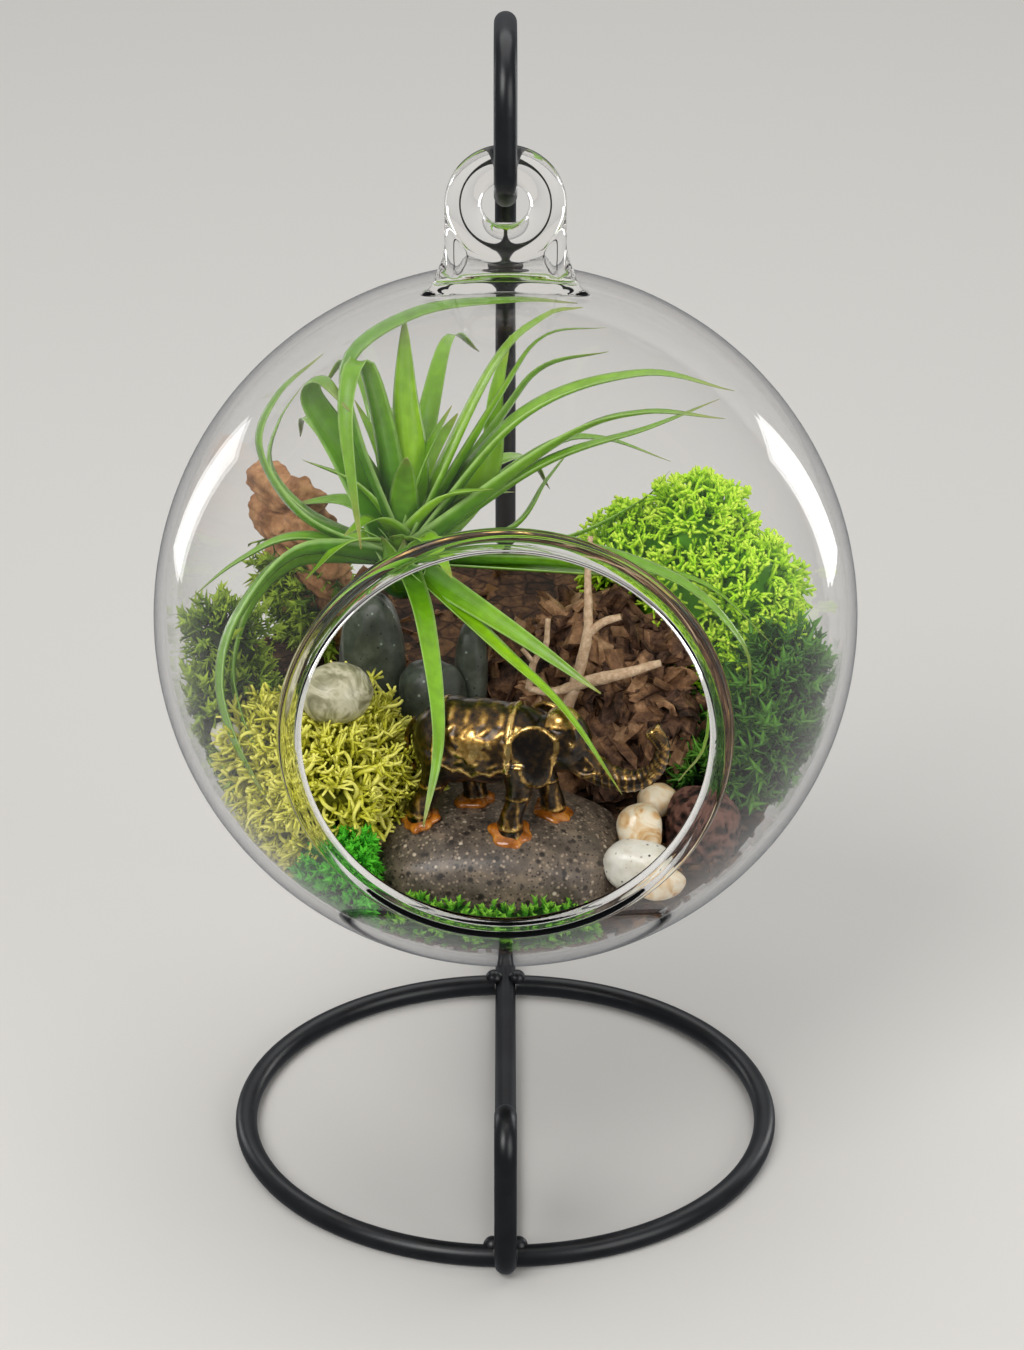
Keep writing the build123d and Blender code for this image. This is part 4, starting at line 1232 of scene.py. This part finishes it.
def twigBranches():
    bm = layered("shade")
    for points, radii in twig["limbs"]:
        tube(bm, [fromGlobe(p) for p in points], [r * mm for r in radii], twig["sides"], twig["steps"])
    noise.seed_set(twig["seed"])  # else noise_vector takes its shift from the clock
    for vert in bm.verts:
        vert.co += noise.noise_vector(vert.co / (twig["knots"] * mm)) * twig["knotDepth"] * mm
    bmesh.ops.recalc_face_normals(bm, faces=bm.faces)
    return bm


twigFinish = barkFinish("dry peeled twig", twig["colours"], twig["grain"])
addPiece("branching_twig", twigBranches(), twigFinish, ["twig"])
print("bark, cork and twig placed")


# Stage, light and camera

stage = {
    "radius": 1.05, "sides": 128, "colour": "#dcd9d3", "backdrop": "#d0cdc8",
    "world": "#c9ccd2", "worldStrength": 0.3,
}


def plainFloor():
    bm = bmesh.new()
    bmesh.ops.create_circle(bm, cap_ends=True, segments=stage["sides"], radius=stage["radius"])
    mesh = meshFrom(bm, "floor")
    mesh.materials.append(startMaterial("pale matt paper", {
        "Base Color": hexColour(stage["colour"]), "Roughness": 0.9, "Specular IOR Level": 0.1,
    })[0])
    floor = addObject("floor", mesh)
    floor.visible_glossy = False  # no pale veil of floor over what stands in the glass
    return floor


floorPiece = plainFloor()


def flaggedFrom(piece):  # lamps with this collection leave the piece unlit
    group = bpy.data.collections.new("flaggedFrom_" + piece.name)
    group.objects.link(piece)
    group.collection_objects[0].light_linking.link_state = "EXCLUDE"
    return group


lamps = {  # place, size, watts, aimed at the globe
    "keySoftbox": ((-0.55, -0.80, 0.95), (0.7, 0.7), 9.0),
    "fillSoftbox": ((0.85, -0.75, 0.50), (0.8, 0.8), 5.0),
    "topSoftbox": ((0.05, 0.60, 1.70), (2.2, 2.2), 22.0),
    "leftStrip": ((-0.45, 0.40, 0.14), (0.12, 0.26), 0.22),
    "rightStrip": ((0.43, 0.36, 0.15), (0.12, 0.26), 0.36),
}
offGlass, offFloor = flaggedFrom(globePiece), flaggedFrom(floorPiece)  # only the two strips show in the glass
for lampName, (lampAt, lampSize, watts) in lamps.items():
    light = bpy.data.lights.new(lampName, "AREA")
    light.shape = "RECTANGLE"
    light.size, light.size_y = lampSize
    light.energy = watts
    lamp = addObject(lampName, light)
    lamp.location = lampAt
    lamp.rotation_mode = "QUATERNION"
    lamp.rotation_quaternion = (globeCentre - Vector(lampAt)).to_track_quat("-Z", "Y")
    lamp.light_linking.receiver_collection = offFloor if "Strip" in lampName else offGlass

world = bpy.data.worlds.new("studio")
world.use_nodes = True
sky = world.node_tree
soft = sky.nodes["Background"]
soft.inputs["Color"].default_value = hexColour(stage["world"])
soft.inputs["Strength"].default_value = stage["worldStrength"]
ray = addNode(sky, "LightPath").outputs
seen = addNode(sky, "Math", None, {
    0: ray["Is Camera Ray"], 1: ray["Is Transmission Ray"],
}, operation="MAXIMUM")
# what shows past the floor, also through the glass
backdrop = addNode(sky, "Background", {"Color": hexColour(stage["backdrop"])})
mixed = addNode(sky, "MixShader", None, {0: seen, 1: soft, 2: backdrop})
wire(sky.nodes["World Output"], {"Surface": mixed})
scene.world = world

view = {  # fitted to the photograph's frame, in pixels
    "at": (0.0, -0.843, 0.5101), "pitch": 25.5, "sensor": 36,
    "focal": 4300, "width": 1024, "height": 1350, "middleX": 505.5,
}
camera = bpy.data.cameras.new("photoCamera")
camera.sensor_width = view["sensor"]
camera.lens = view["focal"] / view["height"] * camera.sensor_width
camera.shift_x = (view["width"] / 2 - view["middleX"]) / view["height"]
cameraObject = addObject("photoCamera", camera)
cameraObject.location = view["at"]
cameraObject.rotation_euler = (math.radians(90 - view["pitch"]), 0, 0)
scene.camera = cameraObject
scene.view_settings.view_transform = "Standard"

print("scene ready")
